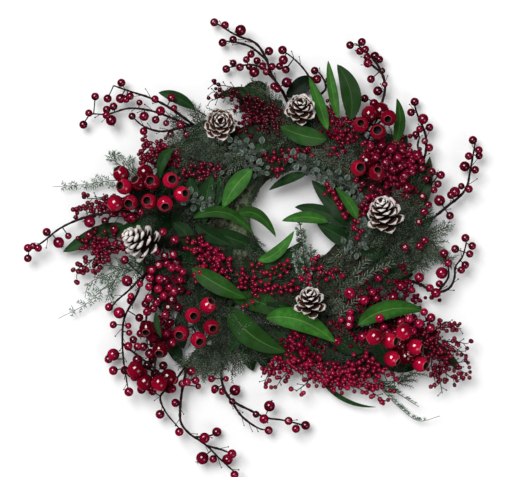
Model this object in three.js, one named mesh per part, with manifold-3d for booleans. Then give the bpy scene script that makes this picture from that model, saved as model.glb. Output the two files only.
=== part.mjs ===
// Pinecone wreath of leaves, needles, red berries, rose hips and five frosted cones on a round base.
// It lies on the flat back of its base: +X to the right of the picture, +Y up it, +Z out of the front.
// Sizes are in millimetres. Places are picture points, which atPicture turns into millimetres.

import * as THREE from "three";
import { mergeVertices } from "three/addons/utils/BufferGeometryUtils.js";
import Module from "manifold-3d";

const wasm = await Module();
wasm.setup();

// The whole wreath
const WREATH_SPAN = 600;
const PICTURE_SPAN = 462;
const MM_PER_POINT = WREATH_SPAN / PICTURE_SPAN;
const HOLE_CENTRE = [297, 217];
const AIR = 0.4;

// The round base that carries everything
const BASE = { inner: 60, outer: 140, thickness: 38, foot: 9, turns: 26, crown: 6, fullness: 0.7 };
const BASE_MIDDLE = (BASE.inner + BASE.outer) / 2;
const BASE_HALF = (BASE.outer - BASE.inner) / 2;

// Stems, berries and blades
const TWIG_RADIUS = 1.9;
const FINE_TWIG_RADIUS = 1.5;
const STALK_RADIUS = 0.9;
const STALK_CLEAR = 0.7;
const BIG_BERRY_RADIUS = 6;
const BELT_SHARE = 0.93;
const BELT_RISE = 0.42;
const PIP_RADIUS = 3.1;
const PIP_STEP = 22;
const STEM_START = 2.5;
const LEAF_THICKNESS = 1.2;
const LEAF_LAYER = 2.6;
const LEAF_STALK = 1.1;
const LEAF_STALK_STEP = 30;
const HUB_RADIUS = 3;
const ROUND_LEAF_RADIUS = 6;
const NEEDLE_RADIUS = 0.8;
const LEAF_FOLD = 0.28;
const LEAF_ARCH = 5;
const HIP_RADIUS = 10.4;
const HIP_STALK_RADIUS = 1.4;
const HIP_STEP = 6;
const STEM_STEP = 32;

// A needle leans this share of its length along its stem and this share across it
const NEEDLE_ALONG = 0.7;
const NEEDLE_ACROSS = 0.72;
const NEEDLES_FROM = 0.12;

// The square cells that keep the height of the foliage, and how a spray is lifted over what is below it
const CELL = 2;
const LIFT_SLOPE = 0.38;
const LIFT_ROUNDS = 9;
const SETTLE_STEP = 0.3;
const SETTLE_LIMIT = 9;

// How high each kind of foliage starts before it is laid over what is below it
const LOW = 16;
const MIDDLE = 22;
const HIGH = 30;

const BERRY_RED = { color: 0xa3132b, roughness: 0.25, metalness: 0 };
const PIP_RED = { color: 0x8c1226, roughness: 0.35, metalness: 0 };
const HIP_RED = { color: 0xb0142c, roughness: 0.28, metalness: 0 };
const LEAF_GREEN = { color: 0x3a7a35, roughness: 0.5, metalness: 0 };
const DARK_LEAF_GREEN = { color: 0x23492b, roughness: 0.55, metalness: 0 };
const FERN_GREEN = { color: 0x3f6a48, roughness: 0.8, metalness: 0 };
const FROSTED_GREEN = { color: 0x7f9c8c, roughness: 0.8, metalness: 0 };
const CONE_BROWN = { color: 0x8b6a58, roughness: 0.8, metalness: 0 };
const BASE_BROWN = { color: 0x3d3a2c, roughness: 0.95, metalness: 0 };

// Cones: middle, radius and length, and how far the tip leans out of the front, and towards which point
const CONES = {
  cone_top_left: { at: [220.5, 124], radius: 22.5, length: 42, lean: 12, towards: [232, 114] },
  cone_top: { at: [300, 109], radius: 21.5, length: 42, lean: 22, towards: [300, 80] },
  cone_left: { at: [139.5, 241], radius: 24, length: 52, lean: 66, towards: [112, 222] },
  cone_right: { at: [383, 215], radius: 26, length: 52, lean: 30, towards: [372, 180] },
  cone_bottom: { at: [309, 302], radius: 20, length: 42, lean: 34, towards: [300, 270] },
};
const CONE_WHORLS = [0.78, 0.98, 1, 0.86, 0.64, 0.38];
const SCALES_PER_WHORL = 5;
const CONE_SCALED_SHARE = 0.84;
const SCALE_VALLEY = 0.76;
const SCALE_THROAT = 0.56;

// Bunches of hollow hips: stems from the base outwards, each hip's middle and the point its mouth looks at
const HIP_BUNCHES = {
  hips_left: {
    stems: [[[206, 190], [168, 194], [138, 192]]],
    hips: [
      [124.5, 172, 118, 160], [122, 189, 120, 193], [116, 205, 104, 214], [134, 203, 130, 212],
      [153, 182, 152, 180], [172.5, 181, 176, 176], [184, 196, 190, 195], [150, 202, 147, 205],
      [167, 205, 168, 213],
    ],
  },
  hips_top_right: {
    stems: [[[356, 176], [364, 152], [374, 126]]],
    hips: [
      [360, 126, 356, 121], [377, 133, 379, 134], [387, 119, 392, 112],
      [357, 169, 351, 172], [375, 174, 379, 178],
    ],
  },
  hips_low_left: {
    stems: [[[236, 292], [206, 318], [194, 326], [160, 340], [154, 372]]],
    hips: [
      [193, 314, 189, 310], [209, 304, 211, 298], [213, 326, 219, 329], [182, 333, 178, 336],
      [199, 339, 200, 345], [136, 372, 128, 380], [168, 386, 166, 397],
    ],
  },
  hips_right: {
    stems: [[[366, 286], [384, 320], [404, 350]]],
    hips: [
      [387, 341, 385, 339], [390.5, 359, 391, 364], [413, 345, 414, 343], [420, 363, 427, 366],
      [402, 329, 405, 321], [373, 335, 368, 330],
    ],
  },
};

// Berry branches: twigs from the base outwards, and berries as middle and radius, all in picture points
const BRANCHES = {
  branch_top: {
    twigs: [
      [[300, 134], [285, 95], [272, 75], [266, 58], [256, 43], [235, 34], [214, 21]],
      [[275, 80], [258, 65.5], [240, 65], [226, 67]],
      [[266, 58], [250, 46], [232, 41], [222, 40]],
      [[303, 134], [315, 96], [309, 76], [296, 60], [284, 51]],
      [[315, 96], [326, 88], [321, 74], [316, 69]],
    ],
    berries: [
      [214, 21, 4.2], [225, 25, 4], [240.6, 30, 5.5], [222.4, 41.5, 4.2], [269, 50.6, 4.4],
      [262.6, 66, 4], [226, 68, 4], [254.3, 72, 5.2], [282.5, 50, 4.5],
      [286, 69, 4], [286.7, 82, 5.2], [274, 86, 4], [315, 69.7, 4], [317, 79, 4.5], [329.4, 79.6, 4],
    ],
  },
  branch_top_right: {
    twigs: [
      [[356, 142], [378, 112], [385.5, 86], [379, 66], [368, 53], [356, 43]],
      [[383, 74], [373, 65], [365, 60]],
    ],
    berries: [
      [350.3, 44.5, 4], [362, 41.7, 4.2], [360, 51, 4], [375.6, 54.8, 4.4], [368, 63, 4.6],
      [371.4, 78.5, 4], [378.5, 90, 4.8], [365, 98, 4],
    ],
  },
  branch_right_upper: {
    twigs: [
      [[380, 172], [404, 166], [423, 160], [426, 135], [418, 115], [415, 103]],
      [[423, 158], [418, 147], [420, 136]],
    ],
    berries: [
      [415.6, 101, 4.3], [411.5, 112, 4], [423, 119, 5.4], [430, 127, 4], [429.5, 147.6, 4],
      [417, 156, 4.6], [407, 188, 5.3], [422, 168, 4],
    ],
  },
  branch_right: {
    twigs: [
      [[392, 236], [425, 226], [433, 219], [448, 206], [462.5, 194], [468, 185], [470.5, 172], [476, 142.5]],
      [[425, 226], [428, 205], [431, 186], [438, 176]],
    ],
    berries: [
      [474, 139.6, 4.3], [479, 150, 4], [469, 156, 4], [465.8, 166, 5.2], [469, 189, 4],
      [455, 192, 5.4], [440, 200.5, 5.6], [450.6, 215.7, 4], [424, 212, 4.2], [423, 196.5, 4], [427, 179, 4],
      [441, 175, 4.2],
    ],
  },
  branch_right_middle: {
    twigs: [
      [[370, 256], [400, 277], [420, 284], [436, 292], [450, 288],
        [455, 278], [456, 267], [463, 257], [467, 243]],
      [[382, 265], [402, 256], [418, 246], [425, 240]],
      [[439, 294], [449, 277], [448, 262]],
    ],
    berries: [
      [466, 238, 4.2], [473, 246, 4], [444.6, 253.6, 4.6], [466, 265, 4],
      [442, 273, 6], [419.7, 277.6, 5], [401, 286, 4.5], [436, 293, 5], [393.4, 297.5, 5], [405, 247.3, 4],
      [424.6, 240.5, 4],
    ],
  },
  branch_left_upper: {
    twigs: [
      [[228, 152], [190, 122], [165, 105], [147, 96.5], [133, 92], [113, 85]],
      [[228, 152], [200, 130], [175, 119], [149, 110], [128, 108], [106, 114], [90, 114], [84, 121]],
      [[190, 126], [160, 131], [142.7, 125.6], [131.5, 116]],
    ],
    berries: [
      [120.7, 82, 4.2], [94.6, 96, 4], [107, 98, 4.2], [120, 98, 4.8], [113, 106, 4],
      [110.8, 120, 5.4], [82.4, 124, 4.2], [144, 116, 4.8], [143.4, 131, 4], [171.4, 98, 4.2],
      [160.5, 111, 4.8], [180.5, 125, 4], [170.3, 134, 4],
    ],
  },
  branch_left: {
    twigs: [
      [[206, 222], [168, 222], [130, 207], [114.5, 210.7], [84.6, 217.4], [60, 228], [40.7, 243], [29, 250]],
      [[114, 211], [104, 224], [92, 228]],
    ],
    berries: [
      [45.7, 232, 4.2], [27.8, 248, 4.2], [38, 248, 4], [27, 258.4, 4], [58, 240, 5.4], [90, 221, 4.6],
      [105, 221, 4], [89.2, 234.8, 4.2], [113.7, 228, 4], [131.5, 217, 4],
    ],
  },
  branch_low_left_inner: {
    twigs: [
      [[214, 246], [184, 252], [160, 268], [152, 290], [146, 318], [147, 345]],
      [[160, 268], [175, 284], [172, 305], [166, 318]],
      [[184, 252], [170, 246], [160, 238]],
    ],
    berries: [
      [158.7, 265, 4.5], [150, 278, 4.4], [158, 289, 4.4], [168.8, 287, 4.2], [149, 298, 4.4],
      [163.7, 296, 4.4], [143.7, 325, 4.4], [152, 338, 4.8], [166, 334, 4.4], [149.5, 354, 5],
      [157, 251, 4.2], [175.4, 240, 4.4],
    ],
  },
  branch_low_left_outer: {
    twigs: [
      [[212, 256], [175, 262], [157, 262], [142, 277], [128, 291], [115.3, 302], [110, 309]],
      [[145, 275], [136, 296], [124, 318], [122, 345], [124, 368], [128, 390]],
    ],
    berries: [
      [108, 307.5, 4.2], [119, 313, 5.8], [112.8, 325, 3.8], [130, 301, 4], [127, 281, 5.6],
      [124.4, 260, 4.4], [112.8, 355, 6.2], [112.8, 371, 4.6], [128, 346.5, 4.4], [124, 371, 4.4],
      [128.7, 392, 4.6], [134.5, 377, 4.6],
    ],
  },
  branch_bottom_left: {
    twigs: [
      [[240, 296], [216, 330], [190, 360], [184, 380], [180, 408],
        [181, 424], [190, 435], [204, 444], [222, 462], [234, 472]],
      [[190, 360], [172, 385], [160, 397], [165, 412], [178, 428]],
      [[196, 438], [212, 436], [216, 434]],
      [[206, 446], [220, 450], [231, 454]],
    ],
    berries: [
      [175, 403.6, 4.3], [159.6, 415, 4.6], [179, 432.5, 4.4], [216.5, 433.3, 4.8], [204.5, 438, 5.4],
      [202.2, 459, 6.4], [227.2, 461, 5.4], [232, 454, 4.6], [234.5, 475, 4.2],
      [191, 372, 4.6], [172, 389, 4.4],
    ],
  },
  branch_bottom: {
    twigs: [
      [[250, 302], [232, 345], [221, 374], [229, 398], [250.6, 411], [266, 418], [285, 421], [304, 426]],
      [[229, 398], [242, 417], [261, 430], [268, 431]],
    ],
    berries: [
      [234.8, 391, 5.6], [269.5, 406.5, 5.6], [264, 419, 4.8], [268.7, 431.4, 4.2], [288.6, 421, 4.2],
      [296, 429, 4.2], [305.8, 426.4, 4.6], [215, 389, 4],
    ],
  },
  branch_right_low: {
    twigs: [
      [[360, 290], [372, 308], [392, 320], [412, 324], [433, 320]],
      [[372, 308], [362, 322], [348, 334], [337, 342]],
      [[392, 320], [404, 332], [409, 338]],
    ],
    berries: [
      [379, 317.7, 4.6], [408.5, 318.5, 4.6], [419, 323.5, 4.8], [431.5, 318, 4.6], [430.8, 328, 4.4],
      [363, 337, 5.4], [337, 342, 4.6], [350, 319, 4.6], [349.4, 293, 6],
      [391, 308, 4.6],
    ],
  },
};

// Sprays of small dark pips: stems from the base outwards
const PIP_SPRAYS = {
  pips_top: [
    [[292, 136], [272, 118], [258, 104], [243, 90], [228, 86], [213, 84]],
    [[286, 130], [268, 128], [250, 118], [244, 106]],
    [[278, 123], [276, 110], [268, 98]],
  ],
  pips_left: [
    [[198, 204], [150, 214], [125, 211], [100, 206], [75, 212]],
    [[121, 210], [104, 200], [86, 198]],
  ],
  pips_low_left: [
    [[206, 234], [150, 242], [120, 250], [98, 257], [74, 271]],
    [[116, 251], [98, 246], [80, 243]],
  ],
  pips_upper_left: [[[214, 164], [185, 158], [165, 152], [143, 143]], [[165, 152], [154, 159], [142, 163]]],
  pips_inner_left: [
    [[232, 286], [250, 281], [270, 275], [288, 267]],
    [[232, 286], [222, 262], [205, 247], [190, 243]],
    [[222, 262], [210, 262], [198, 262]],
    [[246, 290], [280, 289], [305, 282], [326, 275], [343, 270]],
  ],
  pips_top_middle: [
    [[345, 154], [338, 128], [329, 104]],
    [[343, 146], [349, 128], [351, 110]],
    [[345, 154], [318, 150], [300, 152], [280, 156], [264, 158]],
  ],
  pips_right: [
    [[376, 192], [352, 216], [340, 202], [326, 189]],
    [[376, 192], [372, 160], [367, 142]],
    [[375, 182], [388, 166], [387, 146]],
    [[375, 186], [404, 178], [408, 160], [400, 142]],
  ],
  pips_bottom: [
    [[292, 328], [298, 356], [318, 373], [352, 380], [386, 402]],
    [[299, 358], [284, 368], [262, 374]],
    [[312, 368], [308, 382], [296, 392]],
    [[340, 376], [362, 372], [394, 376]],
  ],
  pips_right_low: [
    [[372, 272], [396, 300], [424, 334], [446, 342], [467, 356]],
    [[426, 335], [442, 328], [462, 329]],
    [[424, 334], [440, 356], [456, 368], [469, 375]],
    [[440, 356], [440, 376], [443, 394]],
  ],
};

// Long leaves in sprays: the root on the base, then each leaf's base, middle, tip and width
const LEAF_SPRAYS = {
  leaves_top_left: {
    back: true, root: [240, 136],
    leaves: [[266, 101, 242, 92, 216, 96, 12], [194, 108, 176, 97, 158, 92, 12]],
  },
  leaves_left: {
    back: true, root: [200, 216],
    leaves: [[122, 224, 92, 237, 62, 252, 17], [160, 216, 130, 228, 100, 238, 12]],
  },
  leaves_upper_left: {
    back: true, root: [216, 170],
    leaves: [[172, 150, 163, 162, 160, 178, 9], [212, 176, 206, 200, 205, 224, 17]],
  },
  leaves_inner_left: {
    back: true, root: [206, 226],
    leaves: [[212, 230, 236, 238, 262, 250, 17], [192, 230, 192, 248, 187, 265, 14]],
  },
  leaves_inner_low: {
    back: true, root: [236, 278],
    leaves: [[246, 284, 272, 272, 297, 251, 15], [250, 270, 278, 260, 303, 241, 12]],
  },
  leaves_low: {
    back: true, root: [246, 314],
    leaves: [[258, 328, 290, 350, 322, 359, 23], [256, 316, 276, 308, 298, 312, 14]],
  },
  leaves_right: { back: true, root: [398, 236], leaves: [[404, 230, 422, 196, 431, 156, 17]] },
  leaves_right_low: { back: true, root: [372, 286], leaves: [[420, 336, 440, 352, 462, 369, 15]] },
  leaves_inner_right: {
    back: true, root: [362, 210],
    leaves: [[348, 228, 320, 213, 294, 207, 14], [350, 216, 330, 200, 311, 181, 12]],
  },
  leaves_inner_top: {
    back: true, root: [320, 156],
    leaves: [[306, 175, 288, 180, 268, 190, 9], [292, 160, 272, 167, 255, 182, 12]],
  },
  leaves_top: {
    root: [330, 146],
    leaves: [
      [327, 130, 319, 104, 309, 77, 12], [338, 118, 332, 90, 328, 61, 10],
      [350, 120, 350, 92, 337, 65, 20], [322, 138, 302, 134, 280, 126, 16],
    ],
  },
  leaves_top_right: { root: [386, 176], leaves: [[394, 144, 400, 122, 397, 98, 11]] },
  leaves_hole_left: {
    root: [226, 214],
    leaves: [[252, 170, 236, 186, 223, 208, 19], [206, 219, 242, 214, 275, 240, 16]],
  },
  leaves_hole_low: {
    root: [240, 276],
    leaves: [
      [192, 268, 218, 284, 246, 298, 19], [258, 260, 277, 252, 294, 231, 12],
      [266, 318, 300, 320, 335, 342, 22],
    ],
  },
  leaves_hole_right: {
    root: [352, 218],
    leaves: [[328, 222, 306, 217, 282, 221, 12], [354, 206, 352, 196, 345, 188, 9]],
  },
  leaves_right_bright: { root: [352, 306], leaves: [[358, 325, 388, 309, 424, 311, 19]] },
};

// Sprays of needles: rachis from the base outwards, needle length at its middle, and frost
const NEEDLE_SPRAYS = {
  fern_left: {
    needle: 17, needles: 14,
    stems: [
      [[196, 200], [165, 190], [140, 184], [115, 182], [85, 181], [51, 186]],
      [[143, 184], [128, 168], [108, 153]],
    ],
  },
  fern_low_left: {
    needle: 24, needles: 16,
    stems: [
      [[206, 262], [160, 272], [128, 277], [106, 288], [84, 305], [57, 319]],
      [[132, 276], [112, 266], [98, 266]],
    ],
  },
  conifer_top_left: {
    needle: 13, needles: 13,
    stems: [[[232, 158], [205, 150], [188, 134], [173, 116]], [[221, 155], [208, 134], [192, 106]]],
  },
  conifer_top: {
    needle: 12, needles: 10,
    stems: [[[296, 142], [276, 108], [266, 92], [252, 84]]],
  },
  conifer_low_left: {
    needle: 14, needles: 13,
    stems: [[[246, 300], [224, 340], [206, 356], [180, 364]], [[228, 333], [222, 356], [214, 376]]],
  },
  fern_bottom_right: {
    needle: 14, needles: 13,
    stems: [
      [[330, 298], [338, 320], [352, 350], [378, 385], [402, 402], [441, 418]],
      [[374, 380], [398, 388], [424, 397]],
    ],
  },
  conifer_right: {
    needle: 14, needles: 12,
    stems: [[[384, 242], [425, 236], [450, 226]], [[396, 241], [425, 252], [453, 262]]],
  },
  conifer_inner_right: {
    frosted: true, needle: 12, needles: 10,
    stems: [
      [[366, 240], [344, 254], [332, 266], [320, 278], [311, 290]],
      [[336, 262], [340, 284], [336, 306]],
    ],
  },
  sprig_hole: {
    frosted: true, needle: 12, needles: 8,
    stems: [[[308, 306], [307, 284], [304, 256], [300, 222]]],
  },
  cedar_inner_top: {
    frosted: true, needle: 11, needles: 9,
    stems: [[[354, 178], [338, 166], [320, 158], [303, 152]]],
  },
};

// Small round frosted leaves on short sprigs: stems from the base outwards, and each leaf's middle
const ROUND_LEAF_SPRIGS = {
  round_leaves_left: {
    stems: [[[218, 208], [206, 202], [190, 200]]],
    leaves: [[191, 191], [184, 203], [196, 195], [194, 208], [203, 209]],
  },
  round_leaves_top: {
    stems: [[[262, 152], [248, 150], [236, 144]]],
    leaves: [[240, 153], [247, 141], [262, 141], [251, 159], [259, 162], [230, 140]],
  },
  round_leaves_inner_top: {
    stems: [[[358, 190], [340, 182], [322, 172], [306, 164], [292, 160]]],
    leaves: [[293, 153], [303, 157], [296, 168], [316, 164], [338, 172], [347, 178], [332, 186], [322, 181],
      [347, 194]],
  },
};

// A place in the picture, as millimetres to the right of and above the middle of the hole
function atPicture(px, py) {
  return [(px - HOLE_CENTRE[0]) * MM_PER_POINT, (HOLE_CENTRE[1] - py) * MM_PER_POINT];
}

// Plain helpers for solids
function withPositions(geometry) {
  const plain = geometry.clone();
  plain.deleteAttribute("normal");
  plain.deleteAttribute("uv");
  return mergeVertices(plain, 1e-4);
}

function signedVolume(geometry) {
  const at = geometry.attributes.position;
  const index = geometry.index.array;
  const corners = [new THREE.Vector3(), new THREE.Vector3(), new THREE.Vector3()];
  let volume = 0;
  for (let i = 0; i < index.length; i += 3) {
    corners.forEach((corner, k) => corner.fromBufferAttribute(at, index[i + k]));
    volume += corners[0].dot(corners[1].cross(corners[2])) / 6;
  }
  return volume;
}

function facingOut(geometry) {
  const solid = withPositions(geometry);
  if (signedVolume(solid) < 0) {
    const index = solid.index.array;
    for (let i = 0; i < index.length; i += 3) {
      [index[i], index[i + 1]] = [index[i + 1], index[i]];
    }
  }
  return solid;
}

function toManifold(geometry) {
  const vertProperties = new Float32Array(geometry.attributes.position.array);
  const triVerts = new Uint32Array(geometry.index.array);
  return new wasm.Manifold(new wasm.Mesh({ numProp: 3, vertProperties, triVerts }));
}

function toGeometry(manifold) {
  const { vertProperties, triVerts } = manifold.getMesh();
  const geometry = new THREE.BufferGeometry();
  geometry.setAttribute("position", new THREE.BufferAttribute(vertProperties, 3));
  geometry.setIndex(new THREE.BufferAttribute(triVerts, 1));
  geometry.computeVertexNormals();
  return geometry;
}

// The solids as one body: what doesn't hold on to the largest piece is a loose scrap and is dropped
function fuse(geometries) {
  const whole = geometries.map(toManifold).reduce((sum, piece) => sum.add(piece));
  const bodies = whole.decompose();
  return bodies.reduce((best, body) => (body.volume() > best.volume() ? body : best));
}

// A closed skin over rings of points. An end is a single point, or a ring that a flat face closes.
// The second half of a ring is split the other way, so that both faces of a blade have like triangles.
function loft(rings) {
  const index = [];
  const starts = [];
  rings.reduce((start, ring) => {
    starts.push(start);
    return start + ring.length;
  }, 0);
  for (let r = 0; r < rings.length - 1; r += 1) {
    const count = Math.max(rings[r].length, rings[r + 1].length);
    for (let i = 0; i < count; i += 1) {
      const corner = (ring, step) => starts[ring] + ((i + step) % count) % rings[ring].length;
      const [a, b, c, d] = [corner(r, 0), corner(r, 1), corner(r + 1, 0), corner(r + 1, 1)];
      if (a === b) index.push(a, d, c);
      else if (c === d) index.push(a, b, c);
      else if (i < count / 2) index.push(a, b, d, a, d, c);
      else index.push(a, b, c, b, d, c);
    }
  }
  for (let i = 1; i < rings[0].length - 1; i += 1) index.push(0, i + 1, i);
  const geometry = new THREE.BufferGeometry().setFromPoints(rings.flat());
  geometry.setIndex(index);
  return facingOut(geometry);
}

// A turned shape on the line from a root: stations are distance, radius and twist, and radius 0 is a point
function spindle(root, towards, stations, sides) {
  const axis = towards.clone().sub(root).normalize();
  const turn = new THREE.Quaternion().setFromUnitVectors(new THREE.Vector3(0, 0, 1), axis);
  return loft(stations.map(([along, radius, twist = 0]) => {
    const corners = radius === 0 ? 1 : sides;
    return Array.from({ length: corners }, (_, i) => {
      const angle = ((i + twist) / sides) * Math.PI * 2;
      const corner = new THREE.Vector3(radius * Math.cos(angle), radius * Math.sin(angle), along);
      return corner.applyQuaternion(turn).add(root);
    });
  }));
}

function needle(root, tip, radius) {
  return spindle(root, tip, [[0, 0], [0.6, radius], [root.distanceTo(tip), 0]], 3);
}

// A three-sided stem through the points: it starts as a point and has its full thickness just after that
function stem(points, radius) {
  const start = points[1].clone().sub(points[0]).setLength(STEM_START).add(points[0]);
  const path = [points[0], start, ...points.slice(1)];
  const rings = path.slice(1, -1).map((point, i) => {
    const along = path[i + 2].clone().sub(path[i]).normalize();
    const across = new THREE.Vector3(along.y, -along.x, 0).normalize();
    const up = across.clone().cross(along);
    return [0, 1, 2].map((corner) => {
      const turn = (corner / 3) * Math.PI * 2 + Math.PI / 2;
      const out = across.clone().multiplyScalar(Math.cos(turn)).addScaledVector(up, Math.sin(turn));
      return point.clone().addScaledVector(out, radius);
    });
  });
  const last = points.length - 1;
  const end = points[last].clone().sub(points[last - 1]).setLength(radius * 2).add(points[last]);
  return loft([[path[0]], ...rings, [end]]);
}

// A round berry on its stalk: a point in the twig, a neck where there is room for one, and two belts
function berryOn(root, middle, radius) {
  const reach = root.distanceTo(middle);
  const neck = reach - radius * 0.95;
  const belt = radius * BELT_SHARE;
  const rise = radius * BELT_RISE;
  const stations = [[0, 0], [reach - rise, belt], [reach + rise, belt, 0.5], [reach + radius, 0]];
  if (neck > radius * 0.9) stations.splice(1, 0, [neck, STALK_RADIUS]);
  return spindle(root, middle, stations, radius > BIG_BERRY_RADIUS ? 5 : 4);
}

// One ring of a blade: its face from the left edge to the right one, then its back the other way
function bladeRing(face) {
  const back = face.map((point) => new THREE.Vector3(point.x, point.y, point.z - LEAF_THICKNESS));
  return [...face, ...back.reverse()];
}

// The top of everything laid so far, kept on a square grid, so that each spray lies over what is below it
const GRID = Math.ceil((WREATH_SPAN * 1.3) / CELL);
const laidTop = new Float32Array(GRID * GRID);

function cellOf(x, y) {
  const column = Math.min(GRID - 2, Math.max(1, Math.round(x / CELL + GRID / 2)));
  const row = Math.min(GRID - 2, Math.max(1, Math.round(y / CELL + GRID / 2)));
  return row * GRID + column;
}

// Calls visit with points spread over each face, a cell or less apart
function overFaces(geometry, visit) {
  const at = geometry.attributes.position;
  const index = geometry.index.array;
  const [a, b, c] = [new THREE.Vector3(), new THREE.Vector3(), new THREE.Vector3()];
  for (let i = 0; i < index.length; i += 3) {
    [a, b, c].forEach((corner, k) => corner.fromBufferAttribute(at, index[i + k]));
    const steps = Math.ceil(Math.max(a.distanceTo(b), b.distanceTo(c), c.distanceTo(a)) / (CELL * 0.9)) + 1;
    for (let u = 0; u <= steps; u += 1) {
      for (let v = 0; v <= steps - u; v += 1) {
        const [p, q] = [u / steps, v / steps];
        const w = 1 - p - q;
        visit(a.x * w + b.x * p + c.x * q, a.y * w + b.y * p + c.y * q, a.z * w + b.z * p + c.z * q);
      }
    }
  }
}

function layDown(geometry) {
  overFaces(geometry, (x, y, z) => {
    const middle = cellOf(x, y);
    for (const near of [-GRID - 1, -GRID, 1 - GRID, -1, 0, 1, GRID - 1, GRID, GRID + 1]) {
      laidTop[middle + near] = Math.max(laidTop[middle + near], z);
    }
  });
}

// Spreads the lifts outwards, falling off with the slope, so that a stem bends gently over what it crosses
function spread(lifts) {
  const straight = LIFT_SLOPE * CELL;
  const slanting = straight * Math.SQRT2;
  const before = [[-1, straight], [-GRID, straight], [-GRID - 1, slanting], [1 - GRID, slanting]];
  const relax = (cell, sign) => {
    for (const [near, drop] of before) {
      lifts[cell] = Math.max(lifts[cell], lifts[cell + near * sign] - drop);
    }
  };
  for (let cell = GRID + 1; cell < lifts.length - GRID - 1; cell += 1) relax(cell, 1);
  for (let cell = lifts.length - GRID - 2; cell > GRID; cell -= 1) relax(cell, -1);
}

// Builds the pieces again and again with more lift, until none of them is below what is already laid
function lieOver(build) {
  const lifts = new Float32Array(GRID * GRID);
  const lift = (x, y) => lifts[cellOf(x, y)];
  let pieces = build(lift);
  for (let round = 0; round < LIFT_ROUNDS; round += 1) {
    const needs = new Map();
    for (const piece of pieces) {
      overFaces(piece, (x, y, z) => {
        const cell = cellOf(x, y);
        const need = laidTop[cell] + AIR - z;
        if (laidTop[cell] > 0 && need > 0.02) needs.set(cell, Math.max(needs.get(cell) ?? 0, need));
      });
    }
    if (needs.size === 0) break;
    for (const [cell, need] of needs) lifts[cell] += need;
    spread(lifts);
    pieces = build(lift);
  }
  return pieces;
}

// Lowers a spray in small steps onto what carries it, until one more would leave less air than the gap
const laidPieces = [];
function settle(solid) {
  const spray = toGeometry(solid);
  const isClear = (depth) => {
    const lower = spray.clone().translate(0, 0, -depth);
    lower.computeBoundingBox();
    const body = toManifold(lower);
    const near = laidPieces.filter((laid) => laid.box.intersectsBox(lower.boundingBox));
    return near.every((laid) => body.intersect(laid.body).isEmpty());
  };
  let drop = 0;
  while (drop < SETTLE_LIMIT && isClear(drop + SETTLE_STEP + AIR)) drop += SETTLE_STEP;
  return toManifold(spray.translate(0, 0, -drop));
}

function keepLaid(solid) {
  const geometry = toGeometry(solid);
  geometry.computeBoundingBox();
  laidPieces.push({ box: geometry.boundingBox, body: solid });
  layDown(geometry);
}

// More points along a picture line, so that a stem can follow what it crosses
function finer(places) {
  const points = places.map(([px, py]) => new THREE.Vector3(px, py, 0));
  const curve = new THREE.CatmullRomCurve3(points, false, "centripetal");
  const steps = Math.max(3, Math.round((curve.getLength() * MM_PER_POINT) / STEM_STEP));
  return curve.getSpacedPoints(steps).map((p) => [p.x, p.y]);
}

// The nearest place on the lines, which is never their start or a corner between two of their pieces
function nearestOn(lines, x, y) {
  let best = null;
  for (const line of lines) {
    for (let i = 0; i < line.length - 1; i += 1) {
      for (let t = i === 0 ? 0.3 : 0.06; t < 1; t += 0.125) {
        const point = line[i].clone().lerp(line[i + 1], t);
        const distance = Math.hypot(point.x - x, point.y - y);
        if (!best || distance < best.distance) best = { point, distance };
      }
    }
  }
  return best;
}

// The stems of one spray, as points in space: each after the first starts on one before it
function stemLines(stems, height, lift) {
  const lines = [];
  for (const places of stems) {
    const line = finer(places).map(([px, py]) => {
      const [x, y] = atPicture(px, py);
      return new THREE.Vector3(x, y, height + lift(x, y));
    });
    if (lines.length > 0) line[0] = nearestOn(lines, line[0].x, line[0].y).point;
    lines.push(line);
  }
  return lines;
}

// Places hidden behind a cone or a hip, where no needle, pip or small leaf is needed
function behindFront({ x, y }) {
  const near = ([px, py], radius) => {
    const [frontX, frontY] = atPicture(px, py);
    return Math.hypot(frontX - x, frontY - y) < radius;
  };
  const hips = Object.values(HIP_BUNCHES).flatMap((bunch) => bunch.hips);
  const behindCone = Object.values(CONES).some(({ at, radius }) => near(at, radius * 0.85));
  return behindCone || hips.some((place) => near(place, HIP_RADIUS * 0.8));
}

// The base ring, with a flat back and a domed front
function baseRing() {
  const innerEdge = new THREE.Vector2(BASE.inner + BASE.foot, 0);
  const profile = [innerEdge, new THREE.Vector2(BASE.outer - BASE.foot, 0)];
  for (let i = 0; i < BASE.crown; i += 1) {
    const turn = (i / (BASE.crown - 1)) * Math.PI;
    const rise = BASE.foot + (BASE.thickness - BASE.foot) * Math.sin(turn) ** BASE.fullness;
    profile.push(new THREE.Vector2(BASE_MIDDLE + BASE_HALF * Math.cos(turn), rise));
  }
  profile.push(innerEdge.clone());
  return facingOut(new THREE.LatheGeometry(profile, BASE.turns).rotateX(Math.PI / 2));
}

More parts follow.
